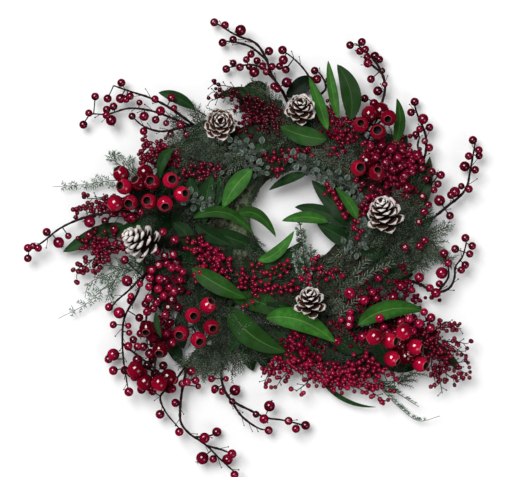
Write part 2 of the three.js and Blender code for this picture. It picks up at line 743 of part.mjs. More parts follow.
// A cone of scales in whorls: each scale's lip stands out of the valley between it and the next
function pineCone({ at, radius, length, lean, towards }, lift) {
  const corners = SCALES_PER_WHORL * 2;
  const ring = (reach, z, whorl) => Array.from({ length: corners }, (_, i) => {
    const angle = (i / corners) * Math.PI * 2;
    const out = (i + whorl) % 2 === 0 ? reach : reach * SCALE_VALLEY;
    return new THREE.Vector3(out * Math.cos(angle), out * Math.sin(angle), z);
  });
  const step = (length * CONE_SCALED_SHARE) / CONE_WHORLS.length;
  const rings = [[new THREE.Vector3(0, 0, -length / 2)]];
  CONE_WHORLS.forEach((share, whorl) => {
    const z = -length / 2 + step * (whorl + 0.8);
    rings.push(ring(radius * share, z, whorl));
    rings.push(ring(radius * share * SCALE_THROAT, z - step * 0.12, whorl));
  });
  rings.push([new THREE.Vector3(0, 0, length / 2)]);
  const [x, y] = atPicture(...at);
  const [tx, ty] = atPicture(...towards);
  const turn = Math.atan2(ty - y, tx - x);
  const height = HIGH + radius * 0.8 + lift(x, y);
  return [loft(rings).rotateY(THREE.MathUtils.degToRad(lean)).rotateZ(turn).translate(x, y, height)];
}

// A hollow hip with an open mouth
function hip(middle, axis) {
  const profile = [[0, -0.95], [0.82, -0.55], [1, 0.1], [0.58, 0.9], [0, 0.1]].map(([r, z]) => (
    new THREE.Vector2(r * HIP_RADIUS, z * HIP_RADIUS)));
  const shell = new THREE.LatheGeometry(profile, 6);
  shell.applyQuaternion(new THREE.Quaternion().setFromUnitVectors(new THREE.Vector3(0, 1, 0), axis));
  return facingOut(shell.translate(middle.x, middle.y, middle.z));
}

function hipBunch({ stems, hips }, lift) {
  const lines = stemLines(stems, MIDDLE, lift);
  const pieces = lines.map((line) => stem(line, TWIG_RADIUS));
  hips.forEach(([px, py, lookX, lookY], i) => {
    const [x, y] = atPicture(px, py);
    const [sideX, sideY] = [(lookX - px) * MM_PER_POINT, (py - lookY) * MM_PER_POINT];
    const axis = new THREE.Vector3(sideX, sideY, HIP_RADIUS * 0.9).normalize();
    const hold = nearestOn(lines, x, y).point;
    const middle = new THREE.Vector3(x, y, MIDDLE + HIP_RADIUS * 1.3 + (i % 3) * HIP_STEP + lift(x, y));
    pieces.push(hip(middle, axis));
    pieces.push(needle(hold, middle.clone().addScaledVector(axis, -HIP_RADIUS * 0.2), HIP_STALK_RADIUS));
  });
  return pieces;
}

// Where a berry sits: beside its twig in the picture, and in front of it or behind it where they cross
function clearOfTwig(beside, radius, front) {
  const apart = radius + TWIG_RADIUS + STALK_CLEAR;
  const rise = beside < apart ? Math.sqrt(apart ** 2 - beside ** 2) : 0;
  return front ? rise : -rise;
}

function berryBranch({ twigs, berries }, lift) {
  const lines = stemLines(twigs, MIDDLE, lift);
  const pieces = lines.map((line) => stem(line, TWIG_RADIUS));
  berries.forEach(([px, py, size], i) => {
    const radius = size * MM_PER_POINT;
    const [x, y] = atPicture(px, py);
    if (behindFront({ x, y })) return;
    const hold = nearestOn(lines, x, y);
    const rise = clearOfTwig(hold.distance, radius, i % 3 > 0);
    const z = hold.point.z + rise + lift(x, y) - lift(hold.point.x, hold.point.y);
    pieces.push(berryOn(hold.point, new THREE.Vector3(x, y, z), radius));
  });
  return pieces;
}

// A pip is a small drop whose point is in its stem
function pipSpray(stems, lift) {
  const lines = stemLines(stems, MIDDLE, lift);
  const pieces = lines.map((line) => stem(line, FINE_TWIG_RADIUS));
  lines.forEach((line, s) => {
    const curve = new THREE.CurvePath();
    line.slice(1).forEach((point, i) => curve.add(new THREE.LineCurve3(line[i], point)));
    const length = curve.getLength();
    const bare = s === 0 ? Math.min(length * 0.3, 26) : PIP_STEP * 0.7;
    const count = Math.floor((length - bare) / PIP_STEP) + 1;
    for (let i = 0; i < count; i += 1) {
      const along = bare + i * PIP_STEP;
      const root = curve.getPointAt(along / length);
      const heading = curve.getTangentAt(along / length);
      const side = (i % 2 === 0 ? 1 : -1) * (PIP_RADIUS + FINE_TWIG_RADIUS);
      const middle = new THREE.Vector3(root.x - heading.y * side, root.y + heading.x * side, 0);
      middle.z = root.z + (i % 3) + lift(middle.x, middle.y) - lift(root.x, root.y);
      if (!behindFront(middle)) {
        const reach = root.distanceTo(middle);
        pieces.push(spindle(root, middle, [[0, 0], [reach, PIP_RADIUS * 1.15], [reach + PIP_RADIUS, 0]], 4));
      }
    }
  });
  return pieces;
}

// A long leaf: a narrow stalk from the hub, then a blade pointed at its tip, folded along its rib and arched
const LEAF_RINGS = [[0.06, 0.34], [0.32, 0.96], [0.62, 0.92], [0.86, 0.5]];
function longLeaf([bx, by, mx, my, tx, ty, width], hub, height, lift) {
  const rib = new THREE.QuadraticBezierCurve3(
    new THREE.Vector3(bx, by, 0),
    new THREE.Vector3(2 * mx - (bx + tx) / 2, 2 * my - (by + ty) / 2, 0),
    new THREE.Vector3(tx, ty, 0),
  );
  const across = (here, heading, half, rise) => bladeRing([1, 0, -1].map((side) => {
    const [x, y] = atPicture(here.x - heading.y * half * side, here.y + heading.x * half * side);
    const fold = side === 0 ? 0 : half * MM_PER_POINT * LEAF_FOLD;
    return new THREE.Vector3(x, y, height + rise + fold + lift(x, y));
  }));
  const point = (here) => {
    const [x, y] = atPicture(here.x, here.y);
    return [new THREE.Vector3(x, y, height - LEAF_THICKNESS / 2 + lift(x, y))];
  };
  const start = new THREE.Vector3(hub[0], hub[1], 0);
  const away = rib.getPoint(0).sub(start);
  const rings = [across(start, away.clone().normalize(), LEAF_STALK, 0)];
  for (let r = 1; r * LEAF_STALK_STEP < away.length() * MM_PER_POINT; r += 1) {
    const here = start.clone().addScaledVector(away, (r * LEAF_STALK_STEP) / (away.length() * MM_PER_POINT));
    rings.push(across(here, away.clone().normalize(), LEAF_STALK, 0));
  }
  for (const [t, share] of LEAF_RINGS) {
    const rise = LEAF_ARCH * Math.sin(Math.PI * t);
    rings.push(across(rib.getPoint(t), rib.getTangent(t), (width / 2) * share, rise));
  }
  rings.push(point(rib.getPoint(1)));
  return loft(rings);
}

function leafSpray({ back, root, leaves }, lift) {
  const height = back ? LOW : HIGH;
  const [x, y] = atPicture(...root);
  const rise = leaves.length * LEAF_LAYER;
  const hub = new THREE.CylinderGeometry(HUB_RADIUS, HUB_RADIUS, rise + 1, 4).rotateX(Math.PI / 2);
  const pieces = [facingOut(hub.translate(x, y, height + rise / 2 - 2 + lift(x, y)))];
  leaves.forEach((leaf, i) => pieces.push(longLeaf(leaf, root, height + i * LEAF_LAYER, lift)));
  return pieces;
}

function needleSpray({ stems, needle: size, needles }, lift) {
  const lines = stemLines(stems, LOW, lift);
  const pieces = lines.map((line) => stem(line, FINE_TWIG_RADIUS));
  const curves = lines.map((line) => {
    const curve = new THREE.CurvePath();
    line.slice(1).forEach((point, i) => curve.add(new THREE.LineCurve3(line[i], point)));
    return curve;
  });
  const total = curves.reduce((sum, curve) => sum + curve.getLength(), 0);
  curves.forEach((curve) => {
    const count = Math.round((needles * curve.getLength()) / total);
    for (let i = 0; i < count; i += 1) {
      const t = NEEDLES_FROM + ((1 - NEEDLES_FROM) * (i + 0.5)) / count;
      const root = curve.getPointAt(t);
      const heading = curve.getTangentAt(t);
      const side = i % 2 === 0 ? 1 : -1;
      const reach = size * MM_PER_POINT * (1.1 - 0.5 * t) * (0.85 + 0.3 * ((i * 0.618) % 1));
      const tip = root.clone();
      tip.x += (heading.x * NEEDLE_ALONG - heading.y * side * NEEDLE_ACROSS) * reach;
      tip.y += (heading.y * NEEDLE_ALONG + heading.x * side * NEEDLE_ACROSS) * reach;
      tip.z += ((i % 3) - 0.6) * 2 + lift(tip.x, tip.y) - lift(root.x, root.y);
      if (!behindFront(root) && !behindFront(tip)) pieces.push(needle(root, tip, NEEDLE_RADIUS));
    }
  });
  return pieces;
}

// Small oval leaves: each is a thin blade from its point in the sprig, widening, to its round tip
function roundLeafSprig({ stems, leaves }, lift) {
  const lines = stemLines(stems, HIGH, lift);
  const pieces = lines.map((line) => stem(line, FINE_TWIG_RADIUS));
  leaves.forEach(([px, py], i) => {
    const [x, y] = atPicture(px, py);
    if (behindFront({ x, y })) return;
    const root = nearestOn(lines, x, y).point;
    const z = HIGH + 4 + (i % 2) * 2 + lift(x, y);
    const turn = Math.atan2(y - root.y, x - root.x);
    const ring = (along, half, rise) => bladeRing([1, -1].map((side) => {
      const [u, v] = [along * ROUND_LEAF_RADIUS, side * half * ROUND_LEAF_RADIUS];
      const leafX = x + u * Math.cos(turn) - v * Math.sin(turn);
      return new THREE.Vector3(leafX, y + u * Math.sin(turn) + v * Math.cos(turn), z + rise);
    }));
    pieces.push(loft([[root], ring(-0.5, 0.62, -1), ring(0.45, 0.74, 1), [ring(1, 0, 2)[0]]]));
  });
  return pieces;
}

// The wreath: the base, then each layer of foliage from the back to the front
const wreath = new THREE.Group();

function addPiece(name, finish, manifold) {
  const material = new THREE.MeshStandardMaterial({ ...finish, flatShading: true });
  const mesh = new THREE.Mesh(toGeometry(manifold), material);
  mesh.name = name;
  wreath.add(mesh);
}

function addSpray(name, finish, build) {
  const solid = settle(fuse(lieOver(build)));
  keepLaid(solid);
  addPiece(name, finish, solid);
}

const base = toManifold(baseRing());
addPiece("base_ring", BASE_BROWN, base);
keepLaid(base);

for (const [name, spray] of Object.entries(NEEDLE_SPRAYS)) {
  addSpray(name, spray.frosted ? FROSTED_GREEN : FERN_GREEN, (lift) => needleSpray(spray, lift));
}
for (const [name, spray] of Object.entries(LEAF_SPRAYS)) {
  if (spray.back) addSpray(name, DARK_LEAF_GREEN, (lift) => leafSpray(spray, lift));
}
for (const [name, stems] of Object.entries(PIP_SPRAYS)) {
  addSpray(name, PIP_RED, (lift) => pipSpray(stems, lift));
}
for (const [name, branch] of Object.entries(BRANCHES)) {
  addSpray(name, BERRY_RED, (lift) => berryBranch(branch, lift));
}
for (const [name, sprig] of Object.entries(ROUND_LEAF_SPRIGS)) {
  addSpray(name, FROSTED_GREEN, (lift) => roundLeafSprig(sprig, lift));
}
for (const [name, spray] of Object.entries(LEAF_SPRAYS)) {
  if (!spray.back) addSpray(name, LEAF_GREEN, (lift) => leafSpray(spray, lift));
}
for (const [name, bunch] of Object.entries(HIP_BUNCHES)) {
  addSpray(name, HIP_RED, (lift) => hipBunch(bunch, lift));
}
for (const [name, cone] of Object.entries(CONES)) {
  addSpray(name, CONE_BROWN, (lift) => pineCone(cone, lift));
}

// The origin is under the middle of the whole wreath, on the surface that it lies on
const box = new THREE.Box3().setFromObject(wreath);
const middle = box.getCenter(new THREE.Vector3());
wreath.position.set(-middle.x, -middle.y, -box.min.z);

export default wreath;
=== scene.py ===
import math
import zlib
from functools import lru_cache

import bpy
import numpy as np
from bpy.props import FloatProperty, FloatVectorProperty, IntProperty, PointerProperty
from bpy.types import Operator, Panel, PropertyGroup
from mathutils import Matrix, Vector
from mathutils.bvhtree import BVHTree


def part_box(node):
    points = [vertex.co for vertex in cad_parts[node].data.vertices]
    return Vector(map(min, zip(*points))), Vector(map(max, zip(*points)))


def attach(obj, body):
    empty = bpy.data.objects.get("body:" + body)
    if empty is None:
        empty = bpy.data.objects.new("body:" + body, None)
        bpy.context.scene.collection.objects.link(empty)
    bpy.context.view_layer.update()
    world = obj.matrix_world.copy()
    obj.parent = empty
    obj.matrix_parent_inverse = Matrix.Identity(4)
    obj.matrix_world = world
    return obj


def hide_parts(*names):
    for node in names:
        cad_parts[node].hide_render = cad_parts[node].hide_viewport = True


bl_info = {
    "name": "Pinecone wreath",
    "version": (1, 0, 0),
    "blender": (4, 5, 0),
    "location": "3D View > Sidebar > Wreath",
    "description": "Builds the foliage, berries and cones of a pinecone wreath round its solids",
    "category": "Object",
}

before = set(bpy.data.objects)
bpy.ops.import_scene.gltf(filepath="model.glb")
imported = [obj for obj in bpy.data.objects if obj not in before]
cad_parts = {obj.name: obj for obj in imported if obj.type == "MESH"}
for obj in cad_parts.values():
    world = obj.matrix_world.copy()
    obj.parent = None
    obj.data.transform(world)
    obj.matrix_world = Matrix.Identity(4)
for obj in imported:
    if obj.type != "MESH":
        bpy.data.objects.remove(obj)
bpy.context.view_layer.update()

# The wreath's 600 millimetres span 462 points of the picture, and its hole's middle is at this point
MM_PER_POINT = 600 / 462
HOLE_CENTRE = (297, 217)
PICTURE_SIZE = (523, 477)
METRE = 0.001
UP = np.array([0.0, 0.0, 1.0])


# Where things are in the picture

# Each place is how far it is across and down in points, and each stem or twig is a row of such pairs

# Cones: middle, radius and length in millimetres, how many degrees the tip leans from upright, the point that
# it leans towards, and how much more frost its scales have
CONES = {
    "cone_top_left": {
        "at": [220.5, 124], "radius": 23, "length": 40, "lean": 10, "towards": [224, 112], "frost": 0.04},
    "cone_top": {
        "at": [300, 109], "radius": 22, "length": 40, "lean": 26, "towards": [301, 80], "frost": 0.1},
    "cone_left": {
        "at": [140.5, 241.5], "radius": 26, "length": 53, "lean": 64, "towards": [112, 224], "frost": 0.42},
    "cone_right": {
        "at": [382.5, 213], "radius": 26, "length": 54, "lean": 44, "towards": [372, 180], "frost": 0.1},
    "cone_bottom": {
        "at": [309.5, 300], "radius": 22, "length": 44, "lean": 40, "towards": [306, 270], "frost": 0.08},
}

# Bunches of hips: stems, and for each hip its middle, the point that its mouth looks towards, how much the
# mouth looks up, and its tone. The ones behind lie deeper, and their low tones are painted shade.
HIP_BUNCHES = {
    "hips_left": {"stems": [[206, 190, 168, 194, 138, 192]], "hips": [
        [122, 174.5, 117, 168, 0.5, 0.55], [125.5, 187, 121, 186, 0.9, 0.85],
        [117, 203.5, 108, 210, 0.0, 0.9], [131.5, 202.5, 130, 204, 0.9, 0.7],
        [153.5, 183, 151.5, 181.5, 0.9, 0.6], [172, 181.5, 174, 180.5, 0.9, 0.95],
        [182.5, 195, 187, 194, 0.9, 1.0], [150.5, 202, 148.5, 201, 0.9, 0.75],
        [166.5, 204, 167, 207.5, 0.9, 0.85],
    ], "behind": [[146, 173, 141, 166, 0.0, 0.35], [140, 184, 138, 182, 0.3, 0.25]]},
    "hips_top_right": {"stems": [[356, 176, 364, 152, 374, 126]], "hips": [
        [360, 126, 359.5, 124.5, 0.9, 0.65], [377, 133, 376, 131.5, 0.9, 0.6],
        [387, 119, 386, 121, 0.9, 0.55], [357, 169, 359, 168.5, 0.9, 0.8], [375, 174, 376, 171, 0.9, 0.55],
    ], "behind": [
        [369, 115, 369, 107, -0.3, 0.6], [380, 112, 384, 103, -0.3, 0.3], [367, 162, 362, 156, -0.3, 0.25],
    ]},
    "hips_low_left": {"stems": [[236, 292, 206, 318, 194, 326, 160, 340, 154, 372]], "hips": [
        [193.5, 314.5, 194.5, 315, 0.9, 0.9], [208.5, 304.5, 214, 298, 0.9, 0.95],
        [212, 325.5, 214, 327, 0.9, 0.6], [182, 332.5, 180, 334.5, 0.9, 0.75],
        [199, 338.5, 200.5, 340.5, 0.9, 0.85], [137, 368, 130, 372, -0.2, 0.7],
        [160.5, 381, 158, 391, 0.0, 0.75],
    ], "behind": [
        [148, 328, 147, 332, 0.9, 0.2], [161, 349, 160, 353, 0.9, 0.2], [169, 376, 176, 380, -0.2, 0.3],
        [146, 381, 140, 386, -0.2, 0.6],
    ]},
    "hips_right": {"stems": [[366, 286, 384, 320, 404, 350]], "hips": [
        [388, 339.5, 398, 341, 0.9, 1.0], [390.5, 357, 399, 362, 0.7, 1.0],
        [413, 345.5, 424, 348, 0.7, 1.0], [419, 363, 428, 366, 1.0, 1.0], [402, 330, 397, 339, -0.2, 1.0],
        [373, 335, 365, 339, -0.3, 0.9],
    ], "behind": [[405, 356, 412, 350, 0.9, 0.15], [400, 344, 394, 336, 0.9, 0.15]]},
}

# Berry branches: tone and twigs, and for each berry its middle and its radius in points. Some have a tone of
# their own, with how far they are raised in millimetres, or else they lie a radius lower; the low tones of
# those that lie lower are painted shade.
BRANCHES = {
    "branch_top": {"tone": 0.5, "twigs": [
        [300, 134, 285, 95, 272, 75, 266, 58, 256, 43, 235, 34, 214, 21],
        [275, 80, 258, 65.5, 240, 65, 226, 67], [266, 58, 250, 46, 232, 41, 222, 40],
        [303, 134, 315, 96, 309, 76, 296, 60, 284, 51], [315, 96, 326, 88, 321, 74, 316, 69],
    ], "berries": [
        [214, 21, 4.2], [225, 25, 4], [240.6, 30, 5.5], [222.4, 41.5, 4.2], [269, 50.6, 4.4],
        [262.6, 66, 4], [226, 68, 4], [254.3, 72, 5.2], [282.5, 50, 4.5], [286, 69, 4], [286.7, 82, 5.2],
        [274, 86, 4], [315, 69.7, 4], [317, 79, 4.5], [329.4, 79.6, 4], [233, 38.6, 4], [251, 54, 3.8],
        [246.4, 59.3, 3.6], [257, 60, 3.8], [272, 66.3, 3.8], [266.3, 71.7, 3.6], [233, 62, 3.6],
        [240, 67, 4], [283.3, 60, 4.8], [279.6, 65.5, 3.8], [285.5, 69, 3.8], [277.5, 89, 3.8],
        [249, 66, 3.4],
    ]},
    "branch_top_right": {"tone": 0.5, "twigs": [
        [356, 142, 378, 112, 385.5, 86, 379, 66, 368, 53, 356, 43], [383, 74, 373, 65, 365, 60],
    ], "berries": [
        [350.3, 44.5, 4], [362, 41.7, 4.2], [360, 51, 4], [375.6, 54.8, 4.4], [368, 63, 4.6],
        [371.4, 78.5, 4], [378.5, 90, 4.8], [365, 98, 4], [365.6, 49, 3.8], [380, 58.6, 3.8],
        [374, 103, 4.4], [367, 57, 3.6], [383, 70, 3.0], [385, 84, 3.0],
    ]},
    "branch_right_upper": {"tone": 0.6, "twigs": [
        [380, 172, 404, 166, 423, 160, 426, 135, 418, 115, 415, 103], [423, 158, 418, 147, 420, 136],
    ], "berries": [
        [415.6, 101, 4.3], [411.5, 112, 4], [423, 119, 5.4], [430, 127, 4], [429.5, 147.6, 4],
        [417, 156, 4.6], [407, 188, 5.3], [422, 168, 4], [420, 129, 3.8], [416.5, 134, 3.8],
        [421.4, 161, 3.8], [425, 141, 3.4], [412, 172, 4.2], [404, 176, 4.4], [390, 150, 4.8, 0.6, 8],
        [381, 146, 4.2, 0.5, 8], [397, 158, 4.2, 0.65, 6], [375, 158, 4.2, 0.6, 6], [370, 147, 4.2, 0.7, 8],
        [385, 163, 4.2, 0.6, 6], [400, 167, 3.8, 0.5, 4], [402, 151, 3.8, 0.55, 4], [392, 170, 4, 0.5, 4],
        [363, 158, 4, 0.6, 4], [371, 188, 4, 0.5, 2], [362, 184, 3.8, 0.4, 2],
    ]},
    "branch_right": {"tone": 0.55, "twigs": [
        [392, 236, 425, 226, 433, 219, 448, 206, 462.5, 194, 468, 185, 470.5, 172, 476, 142.5],
        [425, 226, 428, 205, 431, 186, 438, 176], [397, 262, 412, 246, 427, 228],
    ], "berries": [
        [474, 139.6, 4.3], [479, 150, 4], [469, 156, 4], [465.8, 166, 5.2], [469, 189, 4], [455, 192, 5.4],
        [440, 200.5, 5.6], [450.6, 215.7, 4], [424, 212, 4.2], [423, 196.5, 4], [427, 179, 4],
        [441, 175, 4.2], [480, 155.4, 3.8], [475.4, 169.7, 4], [451.3, 195, 4.2], [428.8, 205, 4],
        [438, 184, 3.8], [432, 171.5, 3.8], [462, 186, 3.4], [419, 222, 3.6], [434, 190, 3.6],
    ]},
    "branch_right_middle": {"tone": 0.7, "twigs": [
        [370, 256, 400, 277, 420, 284, 436, 292, 450, 288, 455, 278, 456, 267, 463, 257, 467, 243],
        [382, 265, 402, 256, 418, 246, 425, 240], [439, 294, 449, 277, 448, 262],
    ], "berries": [
        [466, 238, 4.2], [473, 246, 4], [444.6, 253.6, 4.6], [466, 265, 4], [442, 273, 6],
        [419.7, 277.6, 5], [401, 286, 4.5], [436, 293, 5], [393.4, 297.5, 5], [405, 247.3, 4],
        [424.6, 240.5, 4], [470, 254, 3.8], [456, 249, 4.2], [448.4, 263, 4], [461.7, 270, 3.8],
        [378.3, 278, 4.2], [376.3, 298, 4], [419.3, 246, 4], [386, 270, 3.6], [412, 290, 3.4],
        [430, 288, 4], [440, 284, 3.8],
    ]},
    "branch_left_upper": {"tone": 0.6, "twigs": [
        [228, 152, 190, 122, 165, 105, 147, 96.5, 133, 92, 113, 85],
        [228, 152, 200, 130, 175, 119, 149, 110, 128, 108, 106, 114, 90, 114, 84, 121],
        [190, 126, 160, 131, 142.7, 125.6, 131.5, 116],
    ], "berries": [
        [120.7, 82, 4.2], [94.6, 96, 4], [107, 98, 4.2], [120, 98, 4.8], [113, 106, 4], [110.8, 120, 5.4],
        [82.4, 124, 4.2], [144, 116, 4.8], [143.4, 131, 4], [171.4, 98, 4.2], [160.5, 111, 4.8],
        [180.5, 125, 4], [170.3, 134, 4], [125.7, 99, 3.8], [130, 96, 3.8], [106, 109, 4], [106.2, 115, 4],
        [88.4, 112.8, 3.8], [131.5, 115.7, 3.8], [155.6, 119.6, 4], [155, 99, 3.8], [139, 102, 3.2],
        [166, 123, 3.2], [174, 108, 3.4], [186, 134, 3.6],
    ]},
    "branch_left": {"tone": 0.75, "twigs": [
        [206, 222, 168, 222, 130, 207, 114.5, 210.7, 84.6, 217.4, 60, 228, 40.7, 243, 29, 250],
        [114, 211, 104, 224, 92, 228],
    ], "berries": [
        [45.7, 232, 4.2], [27.8, 248, 4.2], [38, 248, 4], [27, 258.4, 4], [58, 242.5, 5.6], [90, 222, 5.8],
        [105, 221, 4], [89.2, 234.8, 4.2], [114, 229, 4.2], [131.5, 217.5, 5.4], [33, 246, 3.4],
        [124, 214, 3.6], [100, 213, 3.2], [68, 236, 3.4], [141, 212, 3.8],
    ]},
    "branch_low_left_inner": {"tone": 0.85, "twigs": [
        [214, 246, 184, 252, 160, 268, 152, 290, 146, 318, 147, 345],
        [160, 268, 175, 284, 172, 305, 166, 318], [184, 252, 170, 246, 160, 238],
    ], "berries": [
        [158.7, 265, 4.5], [150, 278, 4.4], [158, 289, 4.4], [168.8, 287, 4.2], [149, 298, 4.4],
        [163.7, 296, 4.4], [143.7, 325, 4.4], [152, 338, 4.8], [166, 334, 4.4], [149.5, 354, 5],
        [157, 251, 4.2], [175.4, 240, 4.4], [152.9, 308.8, 4.2], [165.4, 315.5, 4.6], [152, 270, 4],
        [167, 263.7, 4.2], [173.8, 254.5, 4], [163.7, 232.2, 4.2], [148.7, 287, 4.2], [172, 268, 4.2],
        [160, 279, 4.6], [174, 292, 4.2], [156, 303, 3.8], [147, 312, 4.4], [140, 334, 4.2],
        [158, 331, 4.6], [172, 343, 4.4], [143, 347, 4.4], [178, 268, 3.8], [183, 272, 3.8],
        [180, 280, 3.6], [165, 280, 5, 0.35], [172, 300, 4.6, 0.35], [158, 300, 4.6, 0.4],
        [150, 270, 4.4, 0.35], [180, 290, 4.4, 0.3], [168, 308, 4.6, 0.3], [145, 304, 4.2, 0.4],
        [178, 308, 4.4, 0.3], [158, 320, 4.6, 0.35], [170, 323, 4.4, 0.3], [165, 256, 4.2, 0.4],
        [176, 262, 4.4, 0.4],
    ]},
    "branch_low_left_outer": {"tone": 0.9, "twigs": [
        [212, 256, 175, 262, 157, 262, 142, 277, 128, 291, 115.3, 302, 110, 309],
        [145, 275, 136, 296, 124, 318, 122, 345, 124, 368, 128, 390],
        [123, 345, 140, 358, 155, 370, 165, 385], [140, 358, 142, 372, 148, 388],
    ], "berries": [
        [108, 307.5, 4.2], [119, 313, 5.8], [112.8, 325, 3.8], [130, 301, 4], [127, 281, 5.6],
        [124.4, 260, 4.4], [112.8, 355, 6.2], [112.8, 371, 4.6], [128, 346.5, 4.4], [124, 371, 4.4],
        [128.7, 392, 4.6], [134.5, 377, 4.6], [107.8, 359.8, 4.2], [133.7, 366, 5.0], [144.5, 380.7, 4.4],
        [137, 347, 4.2], [128, 326, 3.2], [129, 333, 3.2], [140, 284, 3.4], [131, 296, 3.4],
        [143, 373, 4.6], [149, 388, 4.4], [137, 360, 5, 0.5], [131, 373, 5, 0.6], [147, 366, 4.8, 0.35],
        [155, 374, 4.8, 0.4], [141, 390, 4.6, 0.5], [152, 360, 4.4, 0.3], [163, 366, 4.4, 0.3],
        [158, 380, 5, 0.4], [168, 390, 4.4, 0.45], [139, 318, 4.2, 0.4], [133, 340, 4, 0.4],
    ]},
    "branch_bottom_left": {"tone": 0.9, "twigs": [
        [240, 296, 216, 330, 190, 360, 184, 380, 180, 408, 181, 424, 190, 435, 204, 444, 222, 462,
            234, 472],
        [190, 360, 172, 385, 160, 397, 165, 412, 178, 428], [196, 438, 212, 436, 216, 434],
        [206, 446, 220, 450, 231, 454],
    ], "berries": [
        [175, 403.6, 4.3], [159.6, 415, 4.6], [179, 432.5, 4.4], [216.5, 433.3, 4.8], [204.5, 438, 5.4],
        [202.2, 459, 6.4], [227.2, 461, 5.4], [232, 454, 4.6], [234.5, 475, 4.2], [191, 372, 4.6],
        [172, 389, 4.4], [159.6, 385.7, 4.6], [213, 460, 4], [187, 382.4, 4], [195.5, 380.7, 4],
        [198, 387, 3.0], [174, 380, 4.4], [166, 376, 5], [152, 392, 4.2], [182, 384, 4],
    ]},
    "branch_bottom": {"tone": 0.7, "twigs": [
        [250, 302, 232, 345, 221, 374, 229, 398, 250.6, 411, 266, 418, 285, 421, 304, 426],
        [229, 398, 242, 417, 261, 430, 268, 431],
    ], "berries": [
        [234.8, 391, 5.6], [269.5, 406.5, 5.6], [264, 419, 4.8], [268.7, 431.4, 4.2], [288.6, 421, 4.2],
        [296, 429, 4.2], [305.8, 426.4, 4.6], [215, 389, 4], [211.4, 379, 3.6], [232, 402, 3.4],
        [214, 391, 3.2], [222, 392, 3.4], [256, 415, 3.6], [226, 379, 3],
    ]},
    "branch_right_low": {"tone": 1.0, "twigs": [
        [360, 290, 372, 308, 392, 320, 412, 324, 433, 320], [372, 308, 362, 322, 348, 334, 337, 342],
        [392, 320, 404, 332, 409, 338],
    ], "berries": [
        [379, 317.7, 4.6, 1.0, 22], [408.5, 318.5, 4.6, 1.0, 8], [419, 323.5, 4.8], [431.5, 318, 4.6],
        [430.8, 328, 4.4], [363, 337, 5.4], [337, 342, 4.6], [350, 319, 4.6], [349.4, 293, 6],
        [391, 308, 4.6], [387.7, 333, 4.6], [412.6, 331, 4.4], [341, 312, 3.4], [341, 320, 3.4],
        [349, 325, 4.4], [329.6, 323, 3.8], [364, 300, 4.8], [401, 322, 4.2], [396, 333, 4.2],
        [424, 312, 4], [350, 312, 4.2], [360, 300, 3.8], [372, 292, 3.8], [384, 327, 4],
    ]},
}

